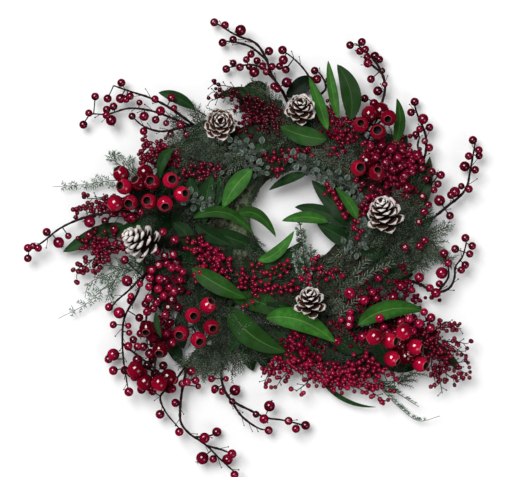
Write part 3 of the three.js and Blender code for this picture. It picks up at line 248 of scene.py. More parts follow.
# Pip sprays: their twigs
PIP_SPRAYS = {
    "pips_top": [
        [292, 136, 272, 118, 258, 104, 243, 90, 228, 86, 213, 84], [286, 130, 268, 128, 250, 118, 244, 106],
        [278, 123, 276, 110, 268, 98], [276, 118, 262, 112, 250, 120, 243, 128],
        [280, 126, 266, 120, 252, 108, 245, 102], [285, 132, 276, 122, 270, 108, 262, 98],
        [262, 108, 243, 97, 226, 96, 210, 101], [240, 98, 228, 92, 212, 92], [272, 132, 262, 126, 254, 130],
    ],
    "pips_left": [
        [198, 204, 150, 214, 125, 211, 100, 206, 75, 212], [121, 210, 104, 200, 86, 198],
        [124, 210, 108, 205, 96, 208, 85, 214], [128, 210, 112, 199, 96, 197],
        [140, 212, 126, 216, 112, 217], [112, 206, 104, 209, 96, 214],
    ],
    "pips_low_left": [
        [206, 234, 150, 242, 120, 250, 98, 257, 74, 271], [116, 251, 98, 246, 80, 243],
        [124, 247, 104, 250, 90, 262, 76, 275], [118, 250, 104, 245, 92, 238],
        [130, 246, 112, 238, 98, 233], [110, 252, 100, 262, 92, 270],
    ],
    "pips_upper_left": [
        [214, 164, 185, 158, 165, 152, 143, 143], [165, 152, 154, 159, 142, 163],
        [170, 156, 160, 148, 150, 141, 142, 145], [165, 152, 152, 155, 146, 165],
        [236, 162, 222, 168, 204, 168, 190, 172, 180, 181], [160, 152, 150, 150, 140, 158],
        [224, 167, 212, 172, 202, 176],
    ],
    "pips_inner_left": [
        [232, 286, 250, 281, 270, 275, 288, 267], [232, 286, 222, 262, 205, 247, 190, 243],
        [222, 262, 210, 262, 198, 262], [246, 290, 280, 289, 305, 282, 326, 275, 343, 270],
        [224, 264, 212, 252, 200, 246, 196, 256], [226, 268, 214, 258, 204, 260, 192, 268],
        [230, 276, 216, 268, 204, 270, 196, 276], [236, 284, 244, 272, 256, 268, 264, 268],
        [214, 256, 206, 250, 196, 240], [226, 270, 226, 258, 220, 248], [232, 284, 226, 276, 218, 270],
        [262, 290, 252, 296, 243, 302], [300, 284, 306, 270, 318, 262],
    ],
    "pips_top_middle": [
        [345, 154, 338, 128, 329, 104], [343, 146, 349, 128, 351, 110],
        [345, 154, 330, 152, 320, 148, 312, 152], [292, 160, 282, 156, 264, 157],
        [340, 134, 334, 120, 326, 112], [345, 130, 352, 118, 354, 104], [290, 154, 282, 162, 276, 172],
        [345, 140, 356, 132, 360, 124],
    ],
    "pips_right": [
        [376, 192, 352, 216, 340, 202, 326, 189], [376, 192, 372, 160, 367, 142],
        [375, 182, 388, 166, 387, 146], [375, 186, 404, 178, 408, 160, 400, 142],
        [388, 180, 378, 160, 384, 148], [398, 178, 392, 160, 380, 150, 370, 148],
        [404, 176, 412, 164, 416, 150], [385, 178, 366, 176, 358, 186], [378, 172, 386, 158, 396, 150],
        [390, 176, 402, 184, 410, 192], [356, 220, 356, 226, 360, 234], [376, 184, 380, 190, 374, 198],
        [398, 170, 402, 152, 396, 142],
    ],
    "pips_bottom": [
        [292, 328, 298, 356, 318, 373, 352, 380, 386, 402], [299, 358, 284, 368, 262, 374],
        [312, 368, 308, 382, 296, 392], [340, 376, 362, 372, 394, 376],
        [300, 352, 318, 362, 340, 370, 362, 366, 384, 368], [292, 350, 280, 358, 270, 372, 264, 384],
        [330, 372, 348, 384, 366, 392], [318, 366, 326, 380, 340, 388],
        [310, 360, 296, 366, 284, 376, 276, 388], [350, 378, 372, 384, 392, 388],
        [300, 358, 306, 372, 320, 384], [345, 372, 356, 360, 370, 356],
    ],
    "pips_right_low": [
        [372, 272, 396, 300, 424, 334, 446, 342, 467, 356], [426, 335, 442, 328, 462, 329],
        [424, 334, 440, 356, 456, 368, 469, 375], [440, 356, 440, 376, 443, 394],
        [430, 338, 448, 350, 462, 352], [434, 350, 452, 362, 466, 362], [428, 352, 432, 368, 436, 384],
        [440, 330, 446, 322, 456, 326], [420, 334, 424, 346, 430, 356], [444, 344, 456, 342, 467, 344],
        [400, 304, 396, 316, 404, 326], [440, 368, 452, 378, 460, 382],
    ],
}

# Leafy stems: where they start, and for each leaf the base, middle and tip of its rib, its width in points,
# its tone, and for some how far they are raised in millimetres. The ones at the back are dark.
LEAF_SPRAYS = {
    "leaves_top_left": {"back": True, "root": [240, 136], "leaves": [
        [266, 101, 242, 92, 216, 96, 12, 0.75], [194, 108, 176, 97, 158, 92, 12, 0.75],
    ]},
    "leaves_left": {"back": True, "root": [200, 216], "leaves": [
        [122, 224, 92, 237, 62, 252, 17, 0.95], [160, 216, 130, 228, 100, 238, 12, 0.75],
        [157, 312, 158, 324, 162, 337, 6, 1.0, 26],
    ]},
    "leaves_upper_left": {"back": True, "root": [216, 170], "leaves": [
        [173, 149, 163, 160, 160, 178, 11, 1.0, 12], [212, 176, 206, 200, 205, 224, 17, 0.75],
        [166, 150, 180, 156, 194, 171, 14, 0.5], [190, 178, 194, 200, 200, 222, 15, 0.7],
        [218, 176, 221, 192, 216, 207, 8, 0.9],
    ]},
    "leaves_inner_left": {"back": True, "root": [206, 226], "leaves": [
        [212, 232, 236, 240, 264, 251, 17, 0.5], [174, 223, 188, 238, 190, 264, 16, 0.6],
        [196, 224, 212, 236, 232, 244, 15, 0.4],
    ]},
    "leaves_inner_low": {"back": True, "root": [236, 278], "leaves": [
        [246, 284, 272, 272, 297, 251, 15, 0.75], [250, 270, 278, 260, 303, 241, 12, 0.75],
    ]},
    "leaves_low": {"back": True, "root": [246, 314], "leaves": [
        [256, 324, 290, 346, 321, 361, 23, 0.75], [256, 316, 276, 308, 298, 312, 14, 0.5],
        [244, 326, 238, 338, 230, 352, 12, 0.8], [318, 376, 344, 400, 377, 408, 5, 1.0],
        [250, 332, 270, 350, 300, 366, 14, 0.6],
    ]},
    "leaves_right": {"back": True, "root": [398, 236], "leaves": [[404, 230, 422, 196, 431, 156, 17, 0.75]]},
    "leaves_right_low": {"back": True, "root": [372, 286], "leaves": [
        [420, 336, 440, 352, 462, 369, 15, 0.75], [372, 330, 384, 352, 392, 372, 20, 0.3],
        [352, 336, 366, 352, 384, 364, 18, 0.3], [330, 330, 346, 346, 364, 352, 16, 0.3],
    ]},
    "leaves_inner_right": {"back": True, "root": [362, 210], "leaves": [
        [352, 228, 322, 212, 295, 207, 14, 0.55], [354, 226, 334, 204, 312, 180, 19, 0.5],
        [357, 246, 338, 235, 317, 223, 18, 0.65], [366, 254, 350, 256, 334, 266, 13, 0.7],
    ]},
    "leaves_inner_top": {"back": True, "root": [320, 156], "leaves": [
        [306, 174, 288, 179, 269, 190, 10, 0.6], [292, 160, 272, 167, 255, 182, 12, 0.45],
        [277, 155, 262, 147, 248, 156, 8, 1.0],
    ]},
    "leaves_top": {"root": [330, 146], "leaves": [
        [327, 130, 319, 104, 309, 77, 12, 1.0], [338, 118, 332, 90, 328, 61, 10, 0.9],
        [350, 120, 350, 92, 337, 65, 20, 0.12], [326, 140, 302, 136, 280, 127, 19, 0.35],
    ]},
    "leaves_top_right": {"root": [386, 176], "leaves": [[394, 144, 400, 122, 397, 98, 12, 0.35, -6]]},
    "leaves_hole_left": {"root": [226, 214], "leaves": [
        [252, 170, 236, 186, 223, 208, 18, 0.95, 5], [194, 218, 226, 213, 254, 235, 12, 0.4],
        [234, 217, 256, 214, 276, 237, 12, 0.4],
    ]},
    "leaves_hole_low": {"root": [240, 276], "leaves": [
        [192, 268, 218, 284, 246, 298, 19, 0.4], [258, 260, 277, 252, 294, 231, 12, 1.0],
        [266, 318, 300, 320, 335, 342, 22, 1.0], [230, 306, 250, 334, 286, 352, 25, 0.3, -9],
        [232, 298, 262, 303, 296, 320, 20, 0.3, -7],
    ]},
    "leaves_hole_right": {"root": [352, 218], "leaves": [
        [328, 222, 306, 217, 282, 221, 12, 0.75], [356, 219, 349, 204, 335, 188, 11, 0.7],
    ]},
    "leaves_right_bright": {"root": [352, 306], "leaves": [[358, 325, 388, 309, 424, 311, 19, 0.75]]},
}

# Ferns and conifers: stems, and how far their side shoots reach in points. Some say how many places there are
# from shoot to shoot, the share of a stem with small leaves, or the sides of a fern's side stems.
NEEDLE_SPRAYS = {
    "fern_left": {"reach": 14, "sides": (-1, -1, 1), "stems": [
        [196, 200, 165, 190, 140, 184, 115, 180, 85, 184, 51, 186.5],
        [143, 184, 132, 172, 121, 166, 111, 158, 109, 154, 114, 153, 121, 158, 126, 166],
        [132, 172, 129, 163, 132, 155],
    ]},
    "fern_low_left": {"reach": 17, "stems": [
        [206, 262, 160, 264, 128, 272, 106, 286, 84, 305, 57, 319], [132, 272, 112, 266, 98, 266],
        [150, 265, 126, 268, 104, 276, 88, 284, 84, 298], [116, 280, 108, 292, 112, 306],
        [160, 264, 140, 258, 120, 262],
    ]},
    "conifer_top_left": {"reach": 13, "stems": [
        [232, 158, 205, 150, 188, 134, 173, 116], [221, 155, 208, 134, 192, 106],
        [232, 158, 210, 160, 190, 152, 168, 141], [226, 158, 206, 168, 188, 167],
        [224, 156, 206, 146, 194, 141, 182, 140],
    ]},
    "conifer_top": {"reach": 12, "stems": [[296, 142, 276, 108, 266, 92, 252, 84]]},
    "conifer_low_left": {"reach": 15, "stems": [
        [246, 300, 224, 340, 206, 356, 180, 364], [228, 333, 222, 356, 214, 376],
        [224, 340, 234, 354, 242, 366], [224, 340, 214, 350, 196, 352], [206, 356, 198, 366, 188, 374],
        [222, 350, 210, 364, 200, 374], [236, 318, 228, 326, 216, 336],
    ]},
    "fern_bottom_right": {"reach": 10, "sides": (-1, -1), "stems": [
        [330, 298, 338, 320, 352, 350, 378, 385, 402, 410, 420, 422, 441, 417],
        [374, 380, 398, 394, 420, 408],
    ]},
    "conifer_right": {"reach": 14, "stems": [
        [384, 242, 425, 236, 450, 226], [396, 241, 425, 252, 453, 262], [396, 241, 408, 222, 418, 204],
        [400, 239, 416, 226, 430, 212], [400, 244, 412, 258, 424, 268], [425, 236, 436, 246, 440, 258],
    ]},
    "conifer_inner_right": {"frosted": True, "reach": 11, "every": 2, "stems": [
        [366, 240, 344, 254, 332, 266, 320, 278, 311, 290], [336, 262, 340, 284, 336, 306],
    ]},
    "sprig_hole": {"frosted": True, "reach": 10, "every": 3, "leafy": 0.9, "stems": [
        [308, 306, 307, 284, 304, 256, 300, 222], [307, 284, 300, 268, 295, 250],
        [307, 280, 311, 264, 311, 248],
    ]},
    "cedar_inner_top": {"frosted": True, "reach": 11, "stems": [
        [354, 178, 338, 166, 320, 158, 303, 152], [340, 166, 326, 152, 314, 148],
        [346, 172, 348, 160, 344, 150],
    ]},
}

# Sprigs of round leaves: their stems, and the middles of the leaves that stand out
ROUND_LEAF_SPRIGS = {
    "round_leaves_left": {"stems": [[218, 208, 206, 202, 190, 200]], "leaves": [
        [191, 191], [184, 203], [196, 195], [194, 208], [203, 209],
    ]},
    "round_leaves_top": {"stems": [
        [262, 152, 248, 150, 236, 144], [244, 150, 250, 162, 262, 172], [240, 148, 232, 157, 228, 168],
    ], "leaves": [
        [240, 153], [247, 141], [262, 141], [251, 159], [259, 162], [230, 140],
    ]},
    "round_leaves_inner_top": {"stems": [
        [358, 190, 340, 182, 322, 172, 306, 164, 292, 160], [366, 262, 358, 248, 343, 243],
        [362, 240, 364, 232, 362, 222],
    ], "leaves": [
        [293, 153], [303, 157], [296, 168], [316, 164], [338, 172], [347, 178], [332, 186], [322, 181],
        [347, 194], [366, 224], [361, 229], [343, 241], [349, 247], [356, 256],
    ]},
}

# The outline of the wreath's leafy body, without the sprays that sweep out of it
BODY_OUTLINE = [
    (215, 104), (260, 92), (310, 92), (350, 104), (398, 126), (420, 152), (432, 190), (436, 240),
    (414, 290), (430, 330), (426, 366), (398, 382), (350, 378), (300, 368), (262, 368), (236, 376),
    (204, 378), (176, 360), (160, 330), (146, 290), (140, 262), (136, 235), (130, 204), (136, 176),
    (156, 154), (184, 130),
]


# Places and lines

RING_LOW, RING_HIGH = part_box("base_ring")
RING_MIDDLE = (np.array(RING_LOW)[:2] + np.array(RING_HIGH)[:2]) / 2 / METRE


def at_picture(px, py):
    """A place in the picture as millimetres in the frame."""
    x = RING_MIDDLE[0] + (px - HOLE_CENTRE[0]) * MM_PER_POINT
    return np.array([x, RING_MIDDLE[1] + (HOLE_CENTRE[1] - py) * MM_PER_POINT])


def to_picture(place):
    """A place in the frame as a place in the picture."""
    x, y = (np.asarray(place)[:2] - RING_MIDDLE) / MM_PER_POINT
    return HOLE_CENTRE[0] + x, HOLE_CENTRE[1] - y


def is_inside(place, outline):
    """Whether a place is within an outline, both in the picture."""
    x, y = place
    crossings = 0
    for (ax, ay), (bx, by) in zip(outline, outline[1:] + outline[:1]):
        if (ay > y) != (by > y) and x < ax + (y - ay) / (by - ay) * (bx - ax):
            crossings += 1
    return crossings % 2 == 1


def chance(name):
    """A random source that is the same on each run, and another one for each name."""
    return np.random.default_rng(zlib.crc32(name.encode()))


def unit(vectors):
    """The vectors at length one."""
    return vectors / np.maximum(np.linalg.norm(vectors, axis=-1, keepdims=True), 1e-9)


def travelled_along(line):
    """How far along the line each of its places is."""
    return np.concatenate([[0], np.cumsum(np.linalg.norm(np.diff(line, axis=0), axis=1))])


def places_on(line, travelled, stops):
    """The place or places of the line at one stop or more."""
    return np.stack([np.interp(stops, travelled, axis) for axis in line.T], axis=-1)


# Steps of a smooth curve between two points, before its places are evened out
CURVE_STEPS = 24


def smooth_curve(points, step):
    """Evenly spaced places on a smooth curve through the points."""
    points = np.asarray(points, float)
    ends = [2 * points[0] - points[1], *points, 2 * points[-1] - points[-2]]
    dense = []
    for before, start, end, after in zip(ends, ends[1:], ends[2:], ends[3:]):
        gaps = [np.linalg.norm(b - a) ** 0.5 for a, b in ((before, start), (start, end), (end, after))]
        leave = (start - before) / gaps[0] - (end - before) / (gaps[0] + gaps[1]) + (end - start) / gaps[1]
        arrive = (end - start) / gaps[1] - (after - start) / (gaps[1] + gaps[2]) + (after - end) / gaps[2]
        for t in np.linspace(0, 1, CURVE_STEPS, endpoint=False):
            dense.append(
                (2 * t**3 - 3 * t**2 + 1) * start + (t**3 - 2 * t**2 + t) * leave * gaps[1]
                + (3 * t**2 - 2 * t**3) * end + (t**3 - t**2) * arrive * gaps[1]
            )
    dense = np.array([*dense, points[-1]])
    travelled = travelled_along(dense)
    count = max(3, round(travelled[-1] / step) + 1)
    return places_on(dense, travelled, np.linspace(0, travelled[-1], count))


def bow(start, middle, end, count):
    """Places on a bow from start to end that goes through the middle place."""
    start, middle, end = (np.asarray(p, float) for p in (start, middle, end))
    pull = 2 * middle - (start + end) / 2
    t = np.linspace(0, 1, count)[:, None]
    return (1 - t) ** 2 * start + 2 * t * (1 - t) * pull + t**2 * end


def bent(start, reach, bend, count, lowest):
    """Places on a line from the start that bends away and stays above the lowest height."""
    t = np.linspace(0, 1, count)[:, None]
    line = start + reach * t + bend * t**2
    line[:, 2] = np.maximum(line[:, 2], lowest)
    return line


def evened(values, rounds=2):
    """The values with small jumps between neighbours taken out."""
    values = np.array(values, float)
    for _ in range(rounds):
        padded = np.concatenate([values[:1], values, values[-1:]])
        values = (padded[:-2] + 2 * padded[1:-1] + padded[2:]) / 4
    return values


def nearest_on(lines, place):
    """The nearest place of the lines, seen from above, with its height."""
    points = np.vstack(lines)
    return points[np.argmin(np.linalg.norm(points[:, :2] - place[:2], axis=1))]


def in_scene(name, data):
    """A new object in the scene."""
    thing = bpy.data.objects.new(name, data)
    bpy.context.scene.collection.objects.link(thing)
    return thing


class Form:
    """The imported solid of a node, which says how high things are at a place seen from above."""

    # Faces that a line meets at most, reaches beside a place, the weight of a wrong thickness, and the least
    # share of places that has to be found
    MOST_FACES = 24
    BESIDE = (0, 1.0, 2.2)
    MISS_WEIGHT = 0.4
    LEAST_KNOWN = 0.35

    def __init__(self, node):
        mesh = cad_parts[node].data
        corners = [vertex.co / METRE for vertex in mesh.vertices]
        self.tree = BVHTree.FromPolygons(corners, [face.vertices[:] for face in mesh.polygons])
        low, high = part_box(node)
        self.low, self.high = low.z / METRE, high.z / METRE
        self.middle = (np.array(low) + np.array(high)) / 2 / METRE

    def spans(self, place):
        """The bottom and top of each stretch of solid on the upright line through the place."""
        found, top = [], None
        start = Vector((place[0], place[1], self.high + 5))
        for _ in range(self.MOST_FACES):
            hit, normal, _, _ = self.tree.ray_cast(start, Vector((0, 0, -1)))
            if hit is None:
                break
            if normal.z > 0 and top is None:
                top = hit.z
            elif normal.z < 0 and top is not None:
                found.append((hit.z, top))
                top = None
            start = Vector((place[0], place[1], hit.z - 0.01))
        return found

    def offers(self, place, thickness):
        """Heights of what is about as thick as this, at the place or close beside it."""
        for reach in self.BESIDE:
            for turn in range(1 if reach == 0 else 6):
                angle = turn * math.pi / 3
                beside = (place[0] + reach * math.cos(angle), place[1] + reach * math.sin(angle))
                spans = [(a, b) for a, b in self.spans(beside) if 0.25 * thickness < b - a < 2.2 * thickness]
                if spans:
                    return [((a + b) / 2, abs(b - a - thickness)) for a, b in spans]
        return []

    def follow(self, places, thickness):
        """Heights along the places of a stem or rib, with the least up and down."""
        known, paths = [], []
        for index, place in enumerate(places):
            offers = [(z, miss * self.MISS_WEIGHT) for z, miss in self.offers(place, thickness)]
            if not offers:
                continue
            if paths:
                paths = [
                    min(((cost + abs(line[-1] - z) + miss, line + [z]) for cost, line in paths),
                        key=lambda path: path[0])
                    for z, miss in offers
                ]
            else:
                paths = [(miss, [z]) for z, miss in offers]
            known.append(index)
        if len(known) < max(2, len(places) * self.LEAST_KNOWN):
            return np.full(len(places), self.height_near(places[len(places) // 2]))
        line = min(paths, key=lambda path: path[0])[1]
        return evened(np.interp(np.arange(len(places)), known, line))

    def height_near(self, place):
        """The height of what is nearest to the place."""
        hit = self.tree.find_nearest(Vector((place[0], place[1], (self.low + self.high) / 2)))[0]
        return hit.z

    def ball_height(self, place, radius):
        """The height of a ball's middle at the place, or nothing where the solid has no such ball."""
        for low, high in self.spans(place):
            if 1.15 * radius < high - low < 2.4 * radius:
                return (low + high) / 2
            if high - low >= 2.4 * radius:
                return high - 0.85 * radius
        return None


def spray_lines(form, stems, radius, step=4.0):
    """The stems of one spray in space: each after the first starts on one before it."""
    lines = []
    for row in stems:
        flat = np.array([at_picture(*place) for place in np.reshape(row, (-1, 2))])
        if lines:
            flat[0] = nearest_on(lines, flat[0])[:2]
        flat = smooth_curve(flat, step)
        line = np.column_stack([flat, form.follow(flat, 2 * radius)])
        if lines:
            line[0] = nearest_on(lines, line[0])
            line[1:, 2] = evened(line[:, 2])[1:]
        lines.append(line)
    return lines


# How much deeper a stem lies inside the wreath's body, and how low it may lie, in millimetres
BURIED_DEPTH = 24
LOWEST_STEM = 2.5


def buried(line):
    """A stem laid deeper where it runs through the wreath's body, so that foliage covers it."""
    inside = evened([float(is_inside(to_picture(place), BODY_OUTLINE)) for place in line], 4)
    return np.column_stack([line[:, :2], np.maximum(line[:, 2] - BURIED_DEPTH * inside, LOWEST_STEM)])


def started(name):
    """A node's random source, its solid's form and an empty skin."""
    return chance(name), Form(name), Skin()


# Skins: corners and triangles of one piece

@lru_cache(maxsize=None)
def loft_faces(rings, corners):
    """Triangles between rings of corners, closed by a middle corner at each end."""
    faces = []
    for r in range(rings - 1):
        for c in range(corners):
            a, b = r * corners + c, r * corners + (c + 1) % corners
            faces += [(a, b, b + corners), (a, b + corners, a + corners)]
    start, end = rings * corners, rings * corners + 1
    last = (rings - 1) * corners
    for c in range(corners):
        faces += [(start, (c + 1) % corners, c), (end, last + c, last + (c + 1) % corners)]
    return np.array(faces)


def loft(rings):
    """Corners and triangles of a closed skin over rings that all have as many corners."""
    rings = np.asarray(rings, float)
    count, corners = rings.shape[:2]
    ends = [rings[0].mean(0), rings[-1].mean(0)]
    return np.vstack([rings.reshape(-1, 3), ends]), loft_faces(count, corners)


def facing(axis):
    """Two directions across an axis and the axis itself, as rows."""
    axis = unit(np.asarray(axis, float))
    side = np.cross(axis, UP if abs(axis[2]) < 0.95 else np.array([1.0, 0.0, 0.0]))
    side = unit(side)
    return np.array([side, np.cross(axis, side), axis])


def turned(profile, sides):
    """A turned shape about the third axis: the profile is pairs of radius and height."""
    angles = np.arange(sides) / sides * 2 * math.pi
    around = np.column_stack([np.cos(angles), np.sin(angles)])
    return loft([np.column_stack([around * r, np.full(sides, z)]) for r, z in profile])


def tube(points, radii, sides):
    """A round skin along a line of points."""
    points = np.asarray(points, float)
    heading = unit(np.gradient(points, axis=0))
    side = unit(np.cross(heading, UP) + 1e-6)
    over = np.cross(side, heading)
    angles = np.arange(sides) / sides * 2 * math.pi
    radii = np.broadcast_to(radii, len(points))[:, None, None]
    out = np.cos(angles)[None, :, None] * side[:, None] + np.sin(angles)[None, :, None] * over[:, None]
    return loft(points[:, None] + out * radii)


def ball(sides, rows):
    """A ball of radius one."""
    angles = (np.arange(rows) + 0.5) / rows * math.pi
    corners, faces = turned([(math.sin(a), -math.cos(a)) for a in angles], sides)
    corners[-2:] = [[0, 0, -1], [0, 0, 1]]
    return corners, faces


def painted_shade_shares(heights):
    """Shares of a fruit's tone at heights from minus one to one: painted shade, dark below and full on top.
    """
    return 0.22 + 0.78 * np.clip((heights + 0.5) / 1.3, 0, 1)


# The triangles of a needle, whose corners are three round its belly, its tip and its root
NEEDLE_FACES = np.array([(0, 1, 3), (1, 2, 3), (2, 0, 3), (1, 0, 4), (2, 1, 4), (0, 2, 4)])
NEEDLE_ALONG = [0.3, 0.3, 0.3, 1.0, 0.0]

# Faces that meet at a sharper angle than this many degrees look like an edge
SHARP_ANGLE = 65


class Skin:
    """Corners, triangles, finishes and marks of one piece, gathered and then made into a mesh."""

    def __init__(self):
        self.corners, self.faces, self.finishes, self.marks = [], [], [], []
        self.count = 0

    def add(self, shape, finish=0, tone=0.5, edge=0.0, along=0.0):
        """Adds a shape, with its finish's number and a mark or marks for each corner."""
        corners, faces = shape
        marks = np.empty((len(corners), 3))
        marks[:, 0], marks[:, 1], marks[:, 2] = tone, edge, along
        self.corners.append(corners)
        self.faces.append(faces + self.count)
        self.finishes.append(np.broadcast_to(finish, len(faces)))
        self.marks.append(marks)
        self.count += len(corners)

    def add_stem(self, line, thick, thin, sides, tone=0.5):
        """Adds a stem along the line that gets thinner on its way."""
        self.add(tube(line, np.linspace(thick, thin, len(line)), sides), 0, tone)

    def add_copies(self, shape, middles, sizes, finish=0, tones=0.5):
        """Adds the shape at each middle, at each size, with painted shade that makes it darker towards its
        bottom.
        """
        corners, faces = shape
        middles = np.asarray(middles, float).reshape(-1, 3)
        if len(middles) == 0:
            return
        many = middles[:, None] + corners[None] * np.broadcast_to(sizes, len(middles))[:, None, None]
        shift = np.arange(len(middles)) * len(corners)
        # Painted shade: each copy's tone falls off towards its bottom.
        tones = (np.broadcast_to(tones, len(middles))[:, None] * painted_shade_shares(corners[:, 2])).ravel()
        self.add((many.reshape(-1, 3), (faces[None] + shift[:, None, None]).reshape(-1, 3)), finish, tones)

    def add_needles(self, roots, tips, radius, finish=0, tones=0.5):
        """Adds a thin three-sided needle from each root to its tip."""
        roots, tips = (np.asarray(p, float).reshape(-1, 3) for p in (roots, tips))
        if len(roots) == 0:
            return
        heading = unit(tips - roots)
        side = unit(np.cross(heading, UP) + 1e-6)
        over = np.cross(side, heading)
        corners = []
        belly = roots * 0.7 + tips * 0.3
        for angle in (math.pi / 2, math.pi * 7 / 6, math.pi * 11 / 6):
            corners.append(belly + (side * math.cos(angle) + over * math.sin(angle)) * radius)
        corners = np.stack([*corners, tips, roots], axis=1)
        faces = NEEDLE_FACES[None] + (np.arange(len(roots)) * corners.shape[1])[:, None, None]
        tones = np.repeat(np.broadcast_to(tones, len(roots)), corners.shape[1])
        along = np.tile(NEEDLE_ALONG, len(roots))
        self.add((corners.reshape(-1, 3), faces.reshape(-1, 3)), finish, tones, along=along)

    def piece(self, name, slot, finishes, *nodes):
        """Makes the object, which stands for the nodes and takes the given finishes; the slot is not used."""
        corners = np.vstack(self.corners) * METRE
        faces = np.vstack(self.faces)
        mesh = bpy.data.meshes.new(name)
        mesh.vertices.add(len(corners))
        mesh.loops.add(faces.size)
        mesh.polygons.add(len(faces))
        mesh.vertices.foreach_set("co", corners.ravel())
        mesh.loops.foreach_set("vertex_index", faces.ravel().astype(np.int32))
        mesh.polygons.foreach_set("loop_start", np.arange(0, faces.size, 3, dtype=np.int32))
        mesh.polygons.foreach_set("material_index", np.concatenate(self.finishes).astype(np.int32))
        mesh.update(calc_edges=True)
        marks = np.vstack(self.marks)
        for column, mark in enumerate(("tone", "edge", "along")):
            layer = mesh.attributes.new(mark, "FLOAT", "POINT")
            layer.data.foreach_set("value", marks[:, column].astype(np.float32))
        mesh.shade_smooth()
        mesh.set_sharp_from_angle(angle=math.radians(SHARP_ANGLE))
        for finish in finishes:
            mesh.materials.append(finish)
        thing = in_scene(name, mesh)
        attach(thing, "root")
        if nodes:
            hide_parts(*nodes)


# Finishes

class Finish:
    """A material that is being built up, with short ways to add its nodes."""

    def __init__(self, name, roughness):
        self.material = bpy.data.materials.new(name)
        self.material.use_nodes = True
        self.nodes = self.material.node_tree.nodes
        self.links = self.material.node_tree.links
        self.shader = next(n for n in self.nodes if n.type == "BSDF_PRINCIPLED")
        self.shader.inputs["Roughness"].default_value = roughness
        self.places = self.nodes.new("ShaderNodeTexCoord").outputs["Object"]

    def set(self, **values):
        """Sets constants on the shader's own sockets."""
        for name, value in values.items():
            self.shader.inputs[name.replace("_", " ")].default_value = value

    def mark(self, name):
        """The mesh's mark of that name."""
        node = self.nodes.new("ShaderNodeAttribute")
        node.attribute_name = name
        return node.outputs["Fac"]

    def noise(self, scale, detail=3.0, roughness=0.6):
        """Soft noise over the piece: the scale is in spots a metre."""
        node = self.nodes.new("ShaderNodeTexNoise")
        node.inputs["Scale"].default_value = scale
        node.inputs["Detail"].default_value = detail
        node.inputs["Roughness"].default_value = roughness
        self.links.new(self.places, node.inputs["Vector"])
        return node.outputs["Fac"]

    def maths(self, operation, *values):
        """A sum or other step on numbers and outputs."""
        node = self.nodes.new("ShaderNodeMath")
        node.operation = operation
        for socket, value in zip(node.inputs, values):
            if isinstance(value, (int, float)):
                socket.default_value = value
            else:
                self.links.new(value, socket)
        return node.outputs[0]

    def times(self, first, second):
        """The product of two numbers or outputs."""
        return self.maths("MULTIPLY", first, second)

    def ramp(self, value, low, high):
        """The value spread so that low becomes none and high becomes all."""
        node = self.nodes.new("ShaderNodeMapRange")
        node.interpolation_type = "SMOOTHSTEP"
        node.inputs["From Min"].default_value = low
        node.inputs["From Max"].default_value = high
        self.links.new(value, node.inputs["Value"])
        return node.outputs["Result"]

    def mix(self, share, first, second):
        """The first colour, going over to the second by the share."""
        node = self.nodes.new("ShaderNodeMix")
        node.data_type = "RGBA"
        self.links.new(share, node.inputs["Factor"])
        for socket, colour in ((node.inputs["A"], first), (node.inputs["B"], second)):
            if isinstance(colour, bpy.types.NodeSocket):
                self.links.new(colour, socket)
            else:
                socket.default_value = (*colour[:3], 1)
        return node.outputs["Result"]

    def colour(self, output):
        """Paints the finish."""
        self.links.new(output, self.shader.inputs["Base Color"])

    def relief(self, height, depth, strength=1.0):
        """Shades the finish as if it had a relief of this depth in metres."""
        node = self.nodes.new("ShaderNodeBump")
        node.inputs["Strength"].default_value = strength
        node.inputs["Distance"].default_value = depth
        self.links.new(height, node.inputs["Height"])
        self.links.new(node.outputs["Normal"], self.shader.inputs["Normal"])


# Pale colours that stay as they are
NEEDLE_FROST = (0.4, 0.45, 0.36)
LEAF_FROST = (0.3, 0.36, 0.31)
LICHEN = (0.33, 0.36, 0.22)


def scaled(colour, factor):
    """The colour made darker or lighter."""
    return tuple(min(1.0, c * factor) for c in colour[:3])


def lacquer(name, colour, roughness, shade=0.06, coat=1.0):
    """A glossy berry skin: each berry a little lighter or darker, with faint mottling and with painted shade
    carried by its tone mark.
    """
    finish = Finish(name, roughness)
    mottled = finish.mix(finish.ramp(finish.noise(420), 0.35, 0.7), scaled(colour, 0.8), scaled(colour, 1.1))
    # The tone mark is each berry's own tone times its painted shade, which goes down to the shade share of
    # the colour.
    finish.colour(finish.mix(finish.mark("tone"), scaled(colour, shade), mottled))
    finish.relief(finish.noise(300, 2), 0.0004, 0.25)
    finish.set(Coat_Weight=coat, Coat_Roughness=0.06, Coat_IOR=1.75, Specular_IOR_Level=0.04)
    return finish.material


def bark(name, colour):
    """Thin bark with small lengthwise streaks and knots."""
    finish = Finish(name, 0.7)
    grain = finish.noise(900, 4, 0.7)
    finish.colour(finish.mix(finish.ramp(grain, 0.3, 0.75), scaled(colour, 0.5), scaled(colour, 1.6)))
    finish.relief(grain, 0.0006, 0.6)
    finish.set(Specular_IOR_Level=0.12)
    return finish.material


